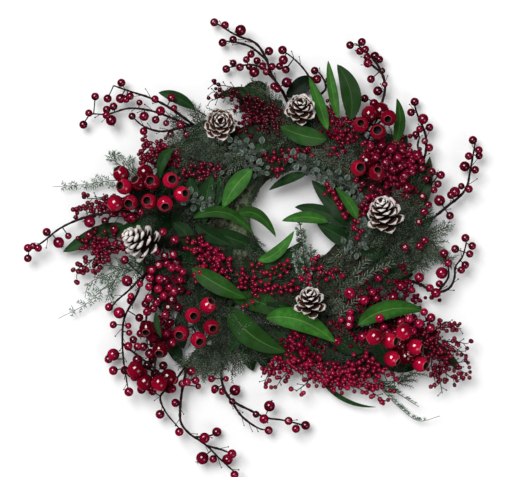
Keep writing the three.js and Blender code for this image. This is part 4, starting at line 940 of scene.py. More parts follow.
def leaf_skin(name, colour, pale):
    """A leaf's face: pale middle rib, fine veins that run forward to the edge, and painted shade in broad
    dark patches and along a darker edge.
    """
    finish = Finish(name, 0.5)
    side = finish.maths("ABSOLUTE", finish.mark("edge"))
    slant = finish.maths("SUBTRACT", finish.times(finish.mark("along"), 26.0), finish.times(side, 7.0))
    wave = finish.maths("ABSOLUTE", finish.maths("SINE", finish.times(slant, math.pi)))
    veins = finish.times(finish.ramp(wave, 0.26, 0.0), 0.5)
    rib = finish.ramp(side, 0.075, 0.025)
    mottle = finish.ramp(finish.noise(160, 4), 0.3, 0.75)
    base = finish.mix(mottle, scaled(colour, 0.6), scaled(colour, 1.1))
    # Painted shade: broad dark patches, and the leaf darker towards its edge.
    base = finish.mix(finish.ramp(finish.noise(28, 2), 0.4, 0.75), base, scaled(colour, 0.4))
    base = finish.mix(finish.times(finish.ramp(side, 0.45, 1.0), 0.6), base, scaled(colour, 0.35))
    toned = finish.mix(finish.mark("tone"), scaled(colour, 0.12), base)
    lines = finish.maths("MAXIMUM", finish.times(rib, 0.8), veins)
    shown = finish.times(lines, finish.ramp(finish.mark("tone"), -0.3, 0.9))
    finish.colour(finish.mix(shown, toned, pale))
    finish.relief(finish.maths("SUBTRACT", 1.0, finish.maths("MAXIMUM", veins, rib)), 0.0007, 0.5)
    finish.set(Specular_IOR_Level=0.14)
    return finish.material


def needle_skin(name, colour, tip, frost):
    """Needles and shoots: dark at the root, paler at the tip, with a share of frosted ones."""
    finish = Finish(name, 0.65)
    body = finish.mix(finish.ramp(finish.mark("along"), 0.2, 1.0), scaled(colour, 0.6), tip)
    speckle = finish.maths("ADD", finish.noise(520, 2), finish.times(finish.mark("tone"), 0.35))
    specks = finish.ramp(speckle, 0.78, 0.95)
    toned = finish.mix(finish.mark("tone"), scaled(colour, 0.15), body)
    finish.colour(finish.mix(finish.times(specks, frost), toned, NEEDLE_FROST))
    finish.set(Specular_IOR_Level=0.12)
    return finish.material


def frosted_skin(name, colour):
    """Small leaves dusted with frost, most of it at the rim."""
    finish = Finish(name, 0.7)
    speckle = finish.maths("ADD", finish.noise(700, 4), finish.times(finish.mark("edge"), 0.25))
    dusted = finish.mix(finish.ramp(speckle, 0.55, 0.9), colour[:3], LEAF_FROST)
    finish.colour(finish.mix(finish.mark("tone"), scaled(colour, 0.2), dusted))
    finish.relief(finish.noise(700, 3), 0.0005, 0.5)
    finish.set(Specular_IOR_Level=0.15)
    return finish.material


def scale_skin(name, colour, frost):
    """A cone's woody scale, whose lip is thick with white frost, and whose root is painted near black as the
    shade between the scales.
    """
    finish = Finish(name, 0.8)
    grain = finish.noise(650, 4, 0.7)
    wood = finish.mix(finish.ramp(grain, 0.3, 0.7), scaled(colour, 0.45), scaled(colour, 1.25))
    # Painted shade: near black towards the scale's root, where the scales shade each other.
    wood = finish.mix(finish.ramp(finish.mark("along"), 0.35, 0.9), scaled(colour, 0.06), wood)
    lip = finish.maths("ADD", finish.mark("edge"), finish.times(finish.maths("SUBTRACT", grain, 0.5), 0.55))
    wood = finish.mix(finish.mark("tone"), scaled(colour, 0.1), wood)
    finish.colour(finish.mix(finish.ramp(lip, 0.6, 0.8), wood, frost))
    finish.relief(grain, 0.0008, 0.7)
    finish.set(Specular_IOR_Level=0.1)
    return finish.material


def moss_skin(name, colour, moss):
    """Dark bark of the ring with moss and pale lichen specks."""
    finish = Finish(name, 0.9)
    patches = finish.ramp(finish.noise(90, 5, 0.7), 0.4, 0.6)
    specks = finish.ramp(finish.noise(800, 3, 0.7), 0.6, 0.72)
    ground = finish.mix(patches, colour[:3], moss[:3])
    ground = finish.mix(finish.times(specks, 0.7), ground, LICHEN)
    # The tone mark paints the ring darker as shade away from its inner left edge.
    finish.colour(finish.mix(finish.mark("tone"), scaled(colour, 0.35), ground))
    finish.relief(finish.noise(500, 4), 0.0015, 0.9)
    finish.set(Specular_IOR_Level=0.08)
    return finish.material


def plain_skin(name, colour, roughness):
    """A finish with no more than a faint unevenness."""
    finish = Finish(name, roughness)
    finish.colour(finish.mix(finish.noise(500), scaled(colour, 0.8), scaled(colour, 1.2)))
    return finish.material


# What a user may change

def colour_choice(name, description, colour):
    """A colour with its default."""
    return FloatVectorProperty(
        name=name, description=description, default=colour, subtype="COLOR", min=0, max=1)


def length_choice(name, description, length):
    """A length in metres with its default."""
    return FloatProperty(name=name, description=description, default=length, unit="LENGTH")


class WreathColours(PropertyGroup):
    """Colours of the wreath's pieces."""

    berry: colour_choice("Berry", "Skin of the round berries", (0.38, 0.003, 0.042))
    hip: colour_choice("Hip", "Skin of the hollow rose hips", (0.5, 0.003, 0.036))
    rim: colour_choice("Hip rim", "Thin rim of a hip's mouth", (0.36, 0.04, 0.05))
    mouth: colour_choice("Hip mouth", "Inside of a hip", (0.016, 0.009, 0.011))
    pip: colour_choice("Pip", "Skin of the small pips", (0.38, 0.003, 0.042))
    twig: colour_choice("Twig", "Bark of the berry twigs", (0.018, 0.006, 0.007))
    bright_leaf: colour_choice("Bright leaf", "Leaves in front", (0.035, 0.19, 0.016))
    dark_leaf: colour_choice("Dark leaf", "Leaves behind", (0.013, 0.07, 0.014))
    vein: colour_choice("Vein", "Middle rib and veins of a leaf", (0.12, 0.24, 0.06))
    needle: colour_choice("Needle", "Fern and conifer green", (0.05, 0.12, 0.065))
    needle_tip: colour_choice("Needle tip", "Tips of the needles", (0.27, 0.42, 0.28))
    frosted: colour_choice("Frosted green", "Frosted needles and small leaves", (0.06, 0.09, 0.07))
    scale: colour_choice("Cone scale", "Wood of the cones", (0.14, 0.055, 0.032))
    frost: colour_choice("Frost", "Frost on the cones", (0.86, 0.8, 0.76))
    bark: colour_choice("Ring bark", "Bark of the base ring", (0.028, 0.02, 0.014))
    moss: colour_choice("Moss", "Moss on the base ring", (0.19, 0.24, 0.14))


class WreathSizes(PropertyGroup):
    """Sizes of the wreath's finest parts."""

    needle: length_choice("Needle length", "Length of a conifer's needle", 0.006)
    pip: length_choice("Pip radius", "Radius of a small pip", 0.003)
    pip_gap: length_choice("Pip gap", "Distance between the twiglets that carry pips", 0.0058)
    twig: length_choice("Twig radius", "Radius of a berry twig", 0.0019)
    leaf: length_choice("Leaf thickness", "Thickness of a leaf", 0.0009)
    scales: IntProperty(name="Cone scales", description="Number of scales on a cone", default=31, min=20)
    camera: length_choice("Camera height", "Height of the camera over the floor", 2.6)


def sizes():
    """The sizes in use, as millimetres."""
    group = bpy.context.scene.wreath_sizes
    return {name: getattr(group, name) / METRE for name in ("needle", "pip", "pip_gap", "twig", "leaf")}


def colours():
    """The colours in use."""
    return bpy.context.scene.wreath_colours


# The pieces

def moss_and_painted_shade(places):
    """How mossy the ring is at the places, and how bright it is painted: most of all at its inner edge on the
    left, where it shows; elsewhere it is painted darker as shade under the foliage.
    """
    from_hole = places[:, :2] - RING_MIDDLE
    distance = np.linalg.norm(from_hole, axis=1)
    leftward = -from_hole[:, 0] / np.maximum(distance, 1)
    return 0.12 + 0.88 * np.clip((leftward - 0.7) / 0.2, 0, 1) * np.clip((100 - distance) / 20, 0, 1)


# The ring's radii and height, and how far its foot is set in and its sides are upright, in millimetres
RING_INNER = 60
RING_OUTER = 140
RING_HEIGHT = 38
RING_FOOT = 9
RING_BAND = (RING_INNER + RING_OUTER) / 2
RING_HALF = (RING_OUTER - RING_INNER) / 2

# How many places the ring's arch and its round have, and the crests of the waves that make it bumpy
RING_ARCH = 15
RING_ROUND = 200
RING_WAVES = (7, 13, 23, 31)
MOSS_TUFTS = 24000


def ring_shape():
    """Corners and triangles of the bumpy ring: an arch over a flat foot, carried round the hole."""
    turn = np.linspace(0, math.pi, RING_ARCH)
    foot = [RING_INNER + RING_FOOT, RING_BAND, RING_OUTER - RING_FOOT]
    radii = np.concatenate([RING_BAND + (RING_HALF - 1.5) * np.cos(turn), foot])
    heights = RING_FOOT + (RING_HEIGHT - 2 - RING_FOOT) * np.sin(turn) ** 0.7
    heights = np.append(heights, [0.2, 0.2, 0.2])
    corners = len(radii)
    rings, faces = [], []
    for angle in np.linspace(0, 2 * math.pi, RING_ROUND, endpoint=False):
        bump = sum(np.sin(k * angle + 2.3 * k * np.arange(corners) / 4 + k) for k in RING_WAVES) * 0.45
        bump[RING_ARCH:] = 0
        r = radii - np.abs(bump) * 0.6
        z = np.maximum(heights + bump * (heights > 5) - 1, 0.2)
        x, y = RING_MIDDLE[0] + r * math.cos(angle), RING_MIDDLE[1] + r * math.sin(angle)
        rings.append(np.column_stack([x, y, z]))
    for a in range(RING_ROUND):
        for b in range(corners):
            here, there = a * corners + b, (a + 1) % RING_ROUND * corners + b
            here_next, there_next = (first + (b + 1) % corners - b for first in (here, there))
            faces += [(here, here_next, there_next), (here, there_next, there)]
    return np.array(rings).reshape(-1, 3), np.array(faces)


class WREATH_OT_base_ring(Operator):
    """Build the moss-covered ring that everything is pushed into"""

    bl_idname = "wreath.base_ring"
    bl_label = "Base ring"

    def execute(self, context):
        rng = chance("base_ring")
        skin = Skin()
        corners, faces = ring_shape()
        skin.add((corners, faces), 0, moss_and_painted_shade(corners))
        around = rng.uniform(0, 2 * math.pi, MOSS_TUFTS)
        over = rng.uniform(0.02, 0.98, MOSS_TUFTS) * math.pi
        r = RING_BAND + (RING_HALF - 2.5) * np.cos(over)
        z = RING_FOOT + (RING_HEIGHT - 4 - RING_FOOT) * np.sin(over) ** 0.7
        roots = np.column_stack([RING_MIDDLE[0] + r * np.cos(around), RING_MIDDLE[1] + r * np.sin(around), z])
        out = np.column_stack([np.cos(over) * np.cos(around), np.cos(over) * np.sin(around), np.sin(over)])
        shown = moss_and_painted_shade(roots) > 0.3
        roots, out, tufts = roots[shown], out[shown], int(shown.sum())
        heading = unit(out * 0.6 + rng.normal(0, 0.6, (tufts, 3)))
        tips = roots + heading * rng.uniform(1.5, 3.6, tufts)[:, None]
        tips[:, 2] = np.maximum(tips[:, 2], 0.3)
        skin.add_needles(roots, tips, 0.4, 1, rng.uniform(0.3, 1, tufts) * moss_and_painted_shade(roots))
        tint = colours()
        skin.piece("mossy_ring", "moss_base", [
            moss_skin("ring bark and moss", tint.bark, tint.moss),
            needle_skin("moss tufts", tint.moss, scaled(tint.moss, 2.4), 0.5),
        ], "base_ring")
        return {"FINISHED"}


def shoot_needles(line, length, gap, rng, spread=0.75, flat=0.8):
    """Roots and tips of the needles round a shoot, all along it and pointing forward."""
    travelled = travelled_along(line)
    count = max(4, int(travelled[-1] / gap))
    stops = np.linspace(0.05, 1, count) * travelled[-1]
    roots = places_on(line, travelled, stops)
    heading = unit(np.gradient(roots, axis=0))
    side = unit(np.cross(heading, UP) + 1e-6)
    over = np.cross(side, heading)
    angle = np.arange(count) * 2.4 + rng.uniform(0, 6)
    out = np.cos(angle)[:, None] * side + np.sin(angle)[:, None] * over * flat
    reach = length * (1 - 0.35 * (stops / travelled[-1]) ** 3) * rng.uniform(0.75, 1.15, count)
    tips = roots + unit(heading * (1 - spread * 0.45) + out * spread) * reach[:, None]
    return roots, tips


def add_shoot(skin, start, heading, length, needle, gap, rng, tone, thick=0.52):
    """A conifer shoot: a thin curved stem with needles all round it."""
    aside = np.cross(heading, UP) * rng.uniform(-0.3, 0.3)
    line = bent(start, heading * length, aside * length, 6, 1.5)
    skin.add_stem(line, 0.55, 0.25, 4, tone * 0.6)
    roots, tips = shoot_needles(line, needle, gap, rng)
    tips[:, 2] = np.maximum(tips[:, 2], 0.5)
    skin.add_needles(roots, tips, thick, 1, tone * rng.uniform(0.6, 1.2, len(roots)))


def add_fern(skin, line, reach, sides, rng):
    """A lacy frond: side stems at uneven distances along the rib, each with small forked leaflets."""
    skin.add_stem(line, 0.8, 0.35, 5)
    travelled = travelled_along(line)
    shares = np.linspace(0, 1, 6)
    stop = 10.0
    while stop < travelled[-1] * 0.92:
        share = stop / travelled[-1]
        root = places_on(line, travelled, stop)
        heading = unit(places_on(line, travelled, stop + 4) - root)
        for side in sides:
            if rng.random() < 0.2:
                continue
            across = np.cross(heading, UP) * side
            direction = unit(heading * rng.uniform(0.5, 1.0) + across * 0.8 + UP * rng.uniform(-0.3, 0.3))
            length = reach * (1.1 - 0.9 * share) * rng.uniform(0.5, 1.2)
            bend = heading * length * rng.uniform(0.0, 0.5)
            branch = bent(root, direction * length, bend, len(shares), 1.2)
            skin.add_stem(branch, 0.4, 0.25, 3, 0.6)
            steps = np.arange(2, length, 0.15 * reach) / length
            roots = places_on(branch, shares, steps)
            size = reach * rng.uniform(0.22, 0.4, (len(roots), 1)) * (1.15 - 0.55 * steps[:, None])
            for hand in (-1, 1):
                aside = np.cross(direction, UP) * hand
                leaflet = unit(direction * 0.8 + aside * 0.7 + UP * rng.uniform(-0.4, 0.4, (len(roots), 1)))
                tips = roots + leaflet * size * rng.uniform(0.6, 1.1, (len(roots), 1))
                skin.add_needles(roots, tips, 0.68, 1, rng.uniform(0.6, 1, len(roots)))
                forks = (roots + tips) / 2
                turned_aside = unit(leaflet + direction * rng.uniform(-0.9, 0.9, (len(roots), 1)))
                ends = forks + turned_aside * size * 0.45
                skin.add_needles(forks, ends, 0.5, 1, rng.uniform(0.5, 1, len(roots)))
            skin.add_needles(branch[-1:], branch[-1:] + direction * 3, 0.5, 1, 0.8)
        stop += rng.uniform(0.6, 1.2) * reach * 0.42


class WREATH_OT_needles(Operator):
    """Build the fern fronds and conifer sprays"""

    bl_idname = "wreath.needles"
    bl_label = "Fern and conifer"

    def execute(self, context):
        tint, size = colours(), sizes()
        stalk = bark("needle stem", (0.06, 0.05, 0.03))
        green = needle_skin("green needles", tint.needle, tint.needle_tip, 0.4)
        frosted = needle_skin("frosted needles", tint.frosted, (0.2, 0.36, 0.25), 0.7)
        fern = needle_skin("fern leaflets", (0.02, 0.19, 0.065), (0.045, 0.34, 0.13), 0.05)
        for name, spray in NEEDLE_SPRAYS.items():
            rng, form, skin = started(name)
            lines = spray_lines(form, spray["stems"], 1.5)
            reach = spray["reach"] * MM_PER_POINT
            for number, line in enumerate(lines):
                if name.startswith("fern"):
                    add_fern(skin, line, reach * (0.6 if number else 1), spray.get("sides", (-1, 1)), rng)
                    continue
                skin.add_stem(line, 1.3, 0.6, 6)
                heading = unit(np.gradient(line, axis=0))
                for i in range(2, len(line) - 1, spray.get("every", 1)):
                    share = i / len(line)
                    for side in (-1, 1):
                        across = np.cross(heading[i], UP) * side
                        direction = unit(heading[i] * 0.8 + across * 0.7 + UP * rng.uniform(-0.3, 0.4))
                        length = reach * (1.25 - 0.7 * share) * rng.uniform(0.7, 1.2)
                        add_shoot(skin, line[i], direction, length, size["needle"], 1.2, rng,
                                  rng.uniform(0.45, 1.4))
                add_shoot(skin, line[-2], heading[-1], reach * 0.6, size["needle"], 1.2, rng, 1.0)
                for i in range(1, int(len(line) * spray.get("leafy", 0))):
                    for side in (-1, 1):
                        away = unit(heading[i] * 0.7 + np.cross(heading[i], UP) * side * 0.8 + UP * 0.2)
                        middle = line[i] + away * rng.uniform(3, 8)
                        add_round_leaf(skin, line[i], middle, rng.uniform(2.2, 3.2), rng, rng.uniform(0.6, 1))
            slot = "frosted_needle" if spray.get("frosted") else "fern_needle"
            leafy = fern if name.startswith("fern") else frosted if spray.get("frosted") else green
            skin.piece(name + "_fine", slot, [stalk, leafy], name)
        return {"FINISHED"}


BLADE_ACROSS = np.array([1, 0.7, 0.35, 0, -0.35, -0.7, -1])

# How far a leaf in front is raised, and how long a stalk from the stem may be, in millimetres
FRONT_LIFT = 2.5
LONGEST_STALK = 80


def leaf_shape(rib, width, rng, thickness, fold=0.28):
    """A leaf between two faces that meet at its edge, with the marks across and along it."""
    t = np.linspace(0, 1, len(rib))
    half = width / 2 * np.sin(np.pi * t**0.85) ** 0.7
    half[0], half[-1] = 0.6, 0.15
    heading = unit(np.gradient(rib, axis=0))
    side = unit(np.cross(UP, heading))
    twist = rng.uniform(-0.25, 0.25) + rng.uniform(-0.3, 0.3) * t
    side = side * np.cos(twist)[:, None] + UP * np.sin(twist)[:, None]
    phase, waves = rng.uniform(0, 6, 2), rng.uniform(2, 3.5)
    rings, edge, along = [], [], []
    for i, place in enumerate(rib):
        front, back = [], []
        for v in BLADE_ACROSS:
            ripple = 0.07 * half[i] * v * v * math.sin(waves * 2 * math.pi * t[i] + phase[0 if v > 0 else 1])
            rise = half[i] * (fold * abs(v) ** 1.2 - 0.1 * v**4) + ripple
            corner = place + side[i] * v * half[i] + UP * rise
            front.append(corner)
            back.append(corner - UP * thickness * (1 - abs(v) ** 3))
        rings.append(front + back[-2:0:-1])
        edge += [*BLADE_ACROSS, *BLADE_ACROSS[-2:0:-1]]
        along += [t[i]] * len(rings[0])
    return loft(rings), [*edge, 0, 0], [*along, 0, 1]


def add_leaf(skin, rib, width, rng, thickness, tone):
    """Adds a leaf along its rib."""
    shape, edge, along = leaf_shape(rib, width, rng, thickness)
    skin.add(shape, 1, tone, edge, along)


class WREATH_OT_leaves(Operator):
    """Build the long pointed leaves"""

    bl_idname = "wreath.leaves"
    bl_label = "Long leaves"

    def execute(self, context):
        tint, size = colours(), sizes()
        stalk = bark("leaf stalk", (0.02, 0.035, 0.014))
        bright = leaf_skin("bright leaf", tint.bright_leaf, tint.vein)
        dark = leaf_skin("dark leaf", tint.dark_leaf, scaled(tint.vein, 0.35))
        for name, spray in LEAF_SPRAYS.items():
            rng, form, skin = started(name)
            back, root = spray.get("back"), at_picture(*spray["root"])
            for bx, by, mx, my, tx, ty, width, tone, *lift in spray["leaves"]:
                flat = bow(at_picture(bx, by), at_picture(mx, my), at_picture(tx, ty), 20)
                raised = (lift[0] if lift else 0) + (0 if back else FRONT_LIFT)
                rib = np.column_stack([flat, form.follow(flat, 1.2) + raised])
                add_leaf(skin, rib, width * MM_PER_POINT, rng, size["leaf"], tone)
                if np.linalg.norm(root - flat[0]) > LONGEST_STALK:
                    continue
                stem = np.linspace(root, flat[0], 7)
                stem = np.column_stack([stem, np.maximum(form.follow(stem, 1.2) - 7, 1.5)])
                stem = np.vstack([stem, rib[2:5] - UP * 1.5])
                skin.add_stem(stem, 1.4, 0.6, 6, 0.6)
            slot, blade = ("dark_leaf", dark) if back else ("bright_leaf", bright)
            skin.piece(name + "_fine", slot, [stalk, blade], name)
        return {"FINISHED"}


def bare_twiglet(skin, root, heading, rng, length):
    """A thin bare side twig with a small dark bud at its tip."""
    side = np.cross(heading, UP) * rng.choice([-1, 1])
    direction = unit(heading * 0.8 + side * rng.uniform(0.4, 0.9) + UP * rng.uniform(-0.4, 0.5))
    line = bent(root, direction * length, heading * length * 0.2, 4, 1.5)
    skin.add(tube(line, [0.55, 0.42, 0.36, 0.3], 4), 0, 0.4)
    skin.add_copies(BUD, line[-1:], rng.uniform(0.8, 1.2), 0, 0.3)


BUD = ball(6, 4)
PIP = ball(8, 5)

# For each spray: the bare share of its first stem, the share of its outer twiglets with no pips, how bright
# the pips are and how large
PIP_LOOKS = {
    "pips_top": (0.2, 0.6, 0.16, 0.95), "pips_left": (0.62, 0.4, 0.34, 1.2),
    "pips_low_left": (0.58, 0.3, 0.42, 1.2), "pips_upper_left": (0.45, 0.1, 0.4, 1.15),
    "pips_inner_left": (0, 0.1, 0.8, 1.05), "pips_top_middle": (0, 0.1, 0.62, 1.05),
    "pips_right": (0, 0.05, 0.6, 1.3), "pips_bottom": (0, 0.2, 0.72, 1.2),
    "pips_right_low": (0.4, 0.4, 0.42, 1.05),
}


class WREATH_OT_pips(Operator):
    """Build the sprays of fine twigs with small pips"""

    bl_idname = "wreath.pips"
    bl_label = "Pip sprays"

    def execute(self, context):
        tint, size = colours(), sizes()
        twig = bark("fine twig", tint.twig)
        pip = lacquer("pip", tint.pip, 0.35, 0.06, 0.7)
        for name, stems in PIP_SPRAYS.items():
            rng, form, skin = started(name)
            bare, thin, bright, large = PIP_LOOKS[name]
            for number, line in enumerate(spray_lines(form, stems, 1.5, 3.0)):
                skin.add_stem(line, 1.1, 0.5, 5)
                travelled = travelled_along(line)
                middles, radii, tones = [], [], []
                first = max(6, travelled[-1] * bare) if number == 0 else 6
                for index, stop in enumerate(np.arange(first, travelled[-1] + 2, size["pip_gap"])):
                    root = places_on(line, travelled, stop)
                    heading = unit(root - places_on(line, travelled, stop - 4))
                    side = np.cross(heading, UP) * (1 if index % 2 else -1)
                    across, rise = side * rng.uniform(0.5, 1.1), UP * rng.uniform(-0.5, 0.9)
                    end = root + unit(heading * 0.7 + across + rise) * rng.uniform(4.5, 10)
                    end[2] = max(end[2], 4)
                    fork = (root + end) / 2
                    skin.add(tube([root, fork, end], [0.5, 0.42, 0.35], 4), 0, 0.5)
                    if stop > travelled[-1] * 0.6 and rng.random() < thin:
                        skin.add_copies(BUD, [end], 1.1, 0, 0.3)
                        continue
                    for start, reach in ((end, 0.5), (fork, 4.2), (root, 4.0)):
                        if reach > 1 and rng.random() < 0.3:
                            continue
                        away = unit(rng.normal(0, 1, 3) * (1, 1, 0.7) + side * 0.4)
                        middle = start + away * reach
                        middle[2] = max(middle[2], 4)
                        middles.append(middle)
                        radii.append(size["pip"] * large * rng.uniform(0.72, 1.05))
                        tones.append(bright * rng.uniform(0.35, 1.25))
                skin.add_copies(PIP, middles, radii, 1, tones)
            skin.piece(name + "_fine", "pip_skin", [twig, pip], name)
        return {"FINISHED"}


def berry_shape():
    """A berry of radius one: round, with a small dent at its far end."""
    corners, faces = ball(16, 11)
    near = np.linalg.norm(corners[:, :2], axis=1)
    top = corners[:, 2] > 0
    corners[top, 2] -= 0.14 * np.exp(-((near[top] / 0.22) ** 2))
    return corners, faces


BERRY = berry_shape()

# Berries with a larger radius than this, in millimetres, have long dry bits at their far end
BIG_BERRY = 6.3


def add_berry(skin, hold, middle, radius, rng, tone):
    """A berry on its stalk, with the dry bits of its flower at the far end."""
    axis = unit(middle - hold + UP * rng.uniform(0.0, 2.5))
    across, over, _ = facing(axis)
    corners, faces = BERRY
    placed = middle + corners @ np.array([across, over, axis]) * radius
    # Painted shade: the berry is darker towards its stalk end.
    skin.add((placed, faces), 1, tone * painted_shade_shares(corners[:, 2]))
    stalk_end = middle - axis * radius * 0.9
    skin.add(tube([hold, (hold + stalk_end) / 2 - UP * 0.6, stalk_end], [0.9, 0.75, 0.85], 5), 0, 0.5)
    big = radius > BIG_BERRY
    hairs = 9 if big else 5
    angles = np.arange(hairs) / hairs * 2 * math.pi + rng.uniform(0, 1)
    out = np.cos(angles)[:, None] * across + np.sin(angles)[:, None] * over
    root = middle + axis * radius * 0.84
    reach = radius * (rng.uniform(0.35, 0.7, hairs) if big else rng.uniform(0.16, 0.26, hairs))
    lean = rng.uniform(0.5, 1.0, hairs)[:, None] if big else 1.4
    tips = root + unit(axis + out * lean) * reach[:, None]
    roots = np.broadcast_to(root, tips.shape) + out * radius * 0.06
    skin.add_needles(roots, tips, 0.35 if big else 0.5, 0, 0.3)


class WREATH_OT_branches(Operator):
    """Build the dark twigs with round glossy berries"""

    bl_idname = "wreath.branches"
    bl_label = "Berry branches"

    def execute(self, context):
        tint, size = colours(), sizes()
        twig = bark("berry twig", tint.twig)
        berry = lacquer("berry", tint.berry, 0.22)
        for name, branch in BRANCHES.items():
            rng, form, skin = started(name)
            lines = spray_lines(form, branch["twigs"], size["twig"])
            deep = [buried(line) for line in lines]
            for number, line in enumerate(deep):
                thick = size["twig"] * (1.0 if number == 0 else 0.8)
                knots = 1 + 0.22 * (np.arange(len(line)) % 3 == 0) + rng.uniform(-0.08, 0.08, len(line))
                taper = np.interp(np.linspace(0, 1, len(line)), [0, 0.6, 1], [1.0, 0.9, 0.5])
                skin.add(tube(line, thick * taper * knots, 7), 0, 0.5)
                heading = unit(np.gradient(line, axis=0))
                for i in range(4, len(line) - 1, 3):
                    if rng.random() < 0.7:
                        bare_twiglet(skin, line[i], heading[i], rng, rng.uniform(5, 13))
            for index, (px, py, points, *own_looks) in enumerate(branch["berries"]):
                radius = points * MM_PER_POINT
                place = at_picture(px, py)
                height = form.ball_height(place, radius)
                if height is None:
                    height = nearest_on(lines, place)[2] + (radius * 0.9 if index % 3 else -radius * 0.5)
                tone, lift = branch["tone"] * rng.uniform(0.75, 1.1), 0
                # A low tone of its own paints a lower berry dark as shade.
                if own_looks:
                    tone, lift = own_looks[0], own_looks[1] if len(own_looks) > 1 else -radius
                middle = np.array([*place, max(height + lift, radius + 0.3)])
                add_berry(skin, nearest_on(deep, place), middle, radius, rng, tone**1.5)
            skin.piece(name + "_fine", "berry_skin", [twig, berry], name)
        return {"FINISHED"}


# A hip's radius in millimetres, and its outline at a radius of one, as pairs of radius and height
HIP_RADIUS = 10.4
HIP_SIDES = 24
HIP_OUTSIDE = [
    (0.16, -0.99), (0.42, -0.93), (0.68, -0.77), (0.87, -0.5), (0.98, -0.18), (1.0, 0.12), (0.95, 0.4),
    (0.85, 0.62), (0.73, 0.78), (0.63, 0.88),
]
HIP_RIM = [(0.6, 0.95), (0.59, 0.99), (0.565, 1.0), (0.545, 0.98)]
HIP_INSIDE = [(0.535, 0.92), (0.56, 0.7), (0.6, 0.4), (0.5, 0.05), (0.25, -0.15)]


def add_hip(skin, middle, axis, mouth, tone, rng):
    """A hollow hip: an urn with a thin rim and a dark inside."""
    profile = [(r * (1 if z < 0.7 else mouth), z) for r, z in HIP_OUTSIDE + HIP_RIM + HIP_INSIDE]
    corners, faces = turned(profile, HIP_SIDES)
    angles = np.arctan2(corners[:, 1], corners[:, 0])
    lobes = 1 + 0.035 * np.cos(5 * angles + rng.uniform(0, 6)) * np.clip(corners[:, 2], -0.4, 1)
    corners = corners * np.column_stack([lobes, lobes, np.ones(len(corners))])
    ring = faces[:, 0] // HIP_SIDES
    ring[faces[:, 0] >= len(profile) * HIP_SIDES] = len(profile)
    ring[faces[:, 0] == len(profile) * HIP_SIDES] = 0
    finish = np.where(ring < len(HIP_OUTSIDE) - 1, 1, np.where(ring < len(HIP_OUTSIDE + HIP_RIM) - 1, 2, 3))
    placed = middle + corners @ facing(axis) * HIP_RADIUS
    # Painted shade: the hip is darker towards its stalk end.
    skin.add((placed, faces), finish, tone * painted_shade_shares(corners[:, 2] + 0.2))


class WREATH_OT_hips(Operator):
    """Build the bunches of hollow rose hips"""

    bl_idname = "wreath.hips"
    bl_label = "Rose hips"

    def execute(self, context):
        tint, size = colours(), sizes()
        finishes = [
            bark("hip stalk", tint.twig), lacquer("hip", tint.hip, 0.16, 0.1),
            plain_skin("hip rim", tint.rim, 0.4), plain_skin("hip mouth", tint.mouth, 0.8),
        ]
        for name, bunch in HIP_BUNCHES.items():
            rng, form, skin = started(name)
            lines = [buried(line) for line in spray_lines(form, bunch["stems"], size["twig"])]
            for line in lines:
                skin.add_stem(line, 1.9, 1.3, 7)
            heights = []
            for px, py, look_x, look_y, rise, tone in bunch["hips"] + bunch["behind"]:
                place = at_picture(px, py)
                spans = form.spans(place)
                if len(heights) < len(bunch["hips"]):
                    heights.append(spans[0][1] - 0.12 * HIP_RADIUS if spans else sum(heights) / len(heights))
                    height = heights[-1]
                else:
                    height = sum(heights) / len(heights) - HIP_RADIUS * 1.2
                middle = np.array([*place, max(height, HIP_RADIUS)])
                side = at_picture(look_x, look_y) - place
                axis = unit(np.array([*side, HIP_RADIUS * rise]))
                # The low tones of the hips behind paint them dark as shade.
                add_hip(skin, middle, axis, rng.uniform(0.78, 0.98), tone**2, rng)
                hold = nearest_on(lines, place)
                end = middle - axis * HIP_RADIUS * 0.95
                skin.add(tube([hold, (hold + end) / 2 - UP * 2, end], [1.2, 1.1, 1.3], 6), 0, 0.5)
            skin.piece(name + "_fine", "hip_skin", finishes, name)
        return {"FINISHED"}


def add_round_leaf(skin, root, middle, radius, rng, tone):
    """A small oval leaf, cupped a little, with its stalk at the root."""
    heading = unit(middle - root)
    start = middle - heading * radius * 0.9
    t = np.linspace(0, 1, 8)
    rib = start + heading * (t * radius * 2)[:, None] + UP * (np.sin(t * math.pi) * radius * 0.12)[:, None]
    shape, edge, along = leaf_shape(rib, radius * 1.55, rng, 0.6, 0.18)
    skin.add(shape, 1, tone, np.abs(edge), along)
    skin.add(tube([root, start, rib[2]], [0.5, 0.45, 0.4], 4), 0, 0.5)


class WREATH_OT_round_leaves(Operator):
    """Build the sprigs of small round frosted leaves"""

    bl_idname = "wreath.round_leaves"
    bl_label = "Round frosted leaves"

    def execute(self, context):
        tint = colours()
        stalk = bark("round leaf stalk", (0.07, 0.08, 0.06))
        leafy = frosted_skin("round frosted leaf", tint.frosted)
        for name, sprig in ROUND_LEAF_SPRIGS.items():
            rng, form, skin = started(name)
            lines = spray_lines(form, sprig["stems"], 1.5)
            for line in lines:
                skin.add_stem(line, 1.0, 0.5, 5)
                for i in range(1, len(line)):
                    for _ in range(3):
                        away = unit(np.append(rng.normal(0, 1, 2), rng.uniform(-0.3, 0.4)))
                        middle = line[i] + away * rng.uniform(4, 11)
                        add_round_leaf(skin, line[i], middle, rng.uniform(2.4, 4.0), rng, rng.uniform(0, 1))
            for px, py in sprig["leaves"]:
                place = at_picture(px, py)
                hold = nearest_on(lines, place)
                middle = np.array([*place, form.height_near(place) + 1])
                add_round_leaf(skin, hold, middle, rng.uniform(4.0, 5.6), rng, rng.uniform(0.6, 1.0))
            skin.piece(name + "_fine", "frosted_leaf", [stalk, leafy], name)
        return {"FINISHED"}


SCALE_ACROSS = np.array([1, 0.72, 0.36, 0, -0.36, -0.72, -1])

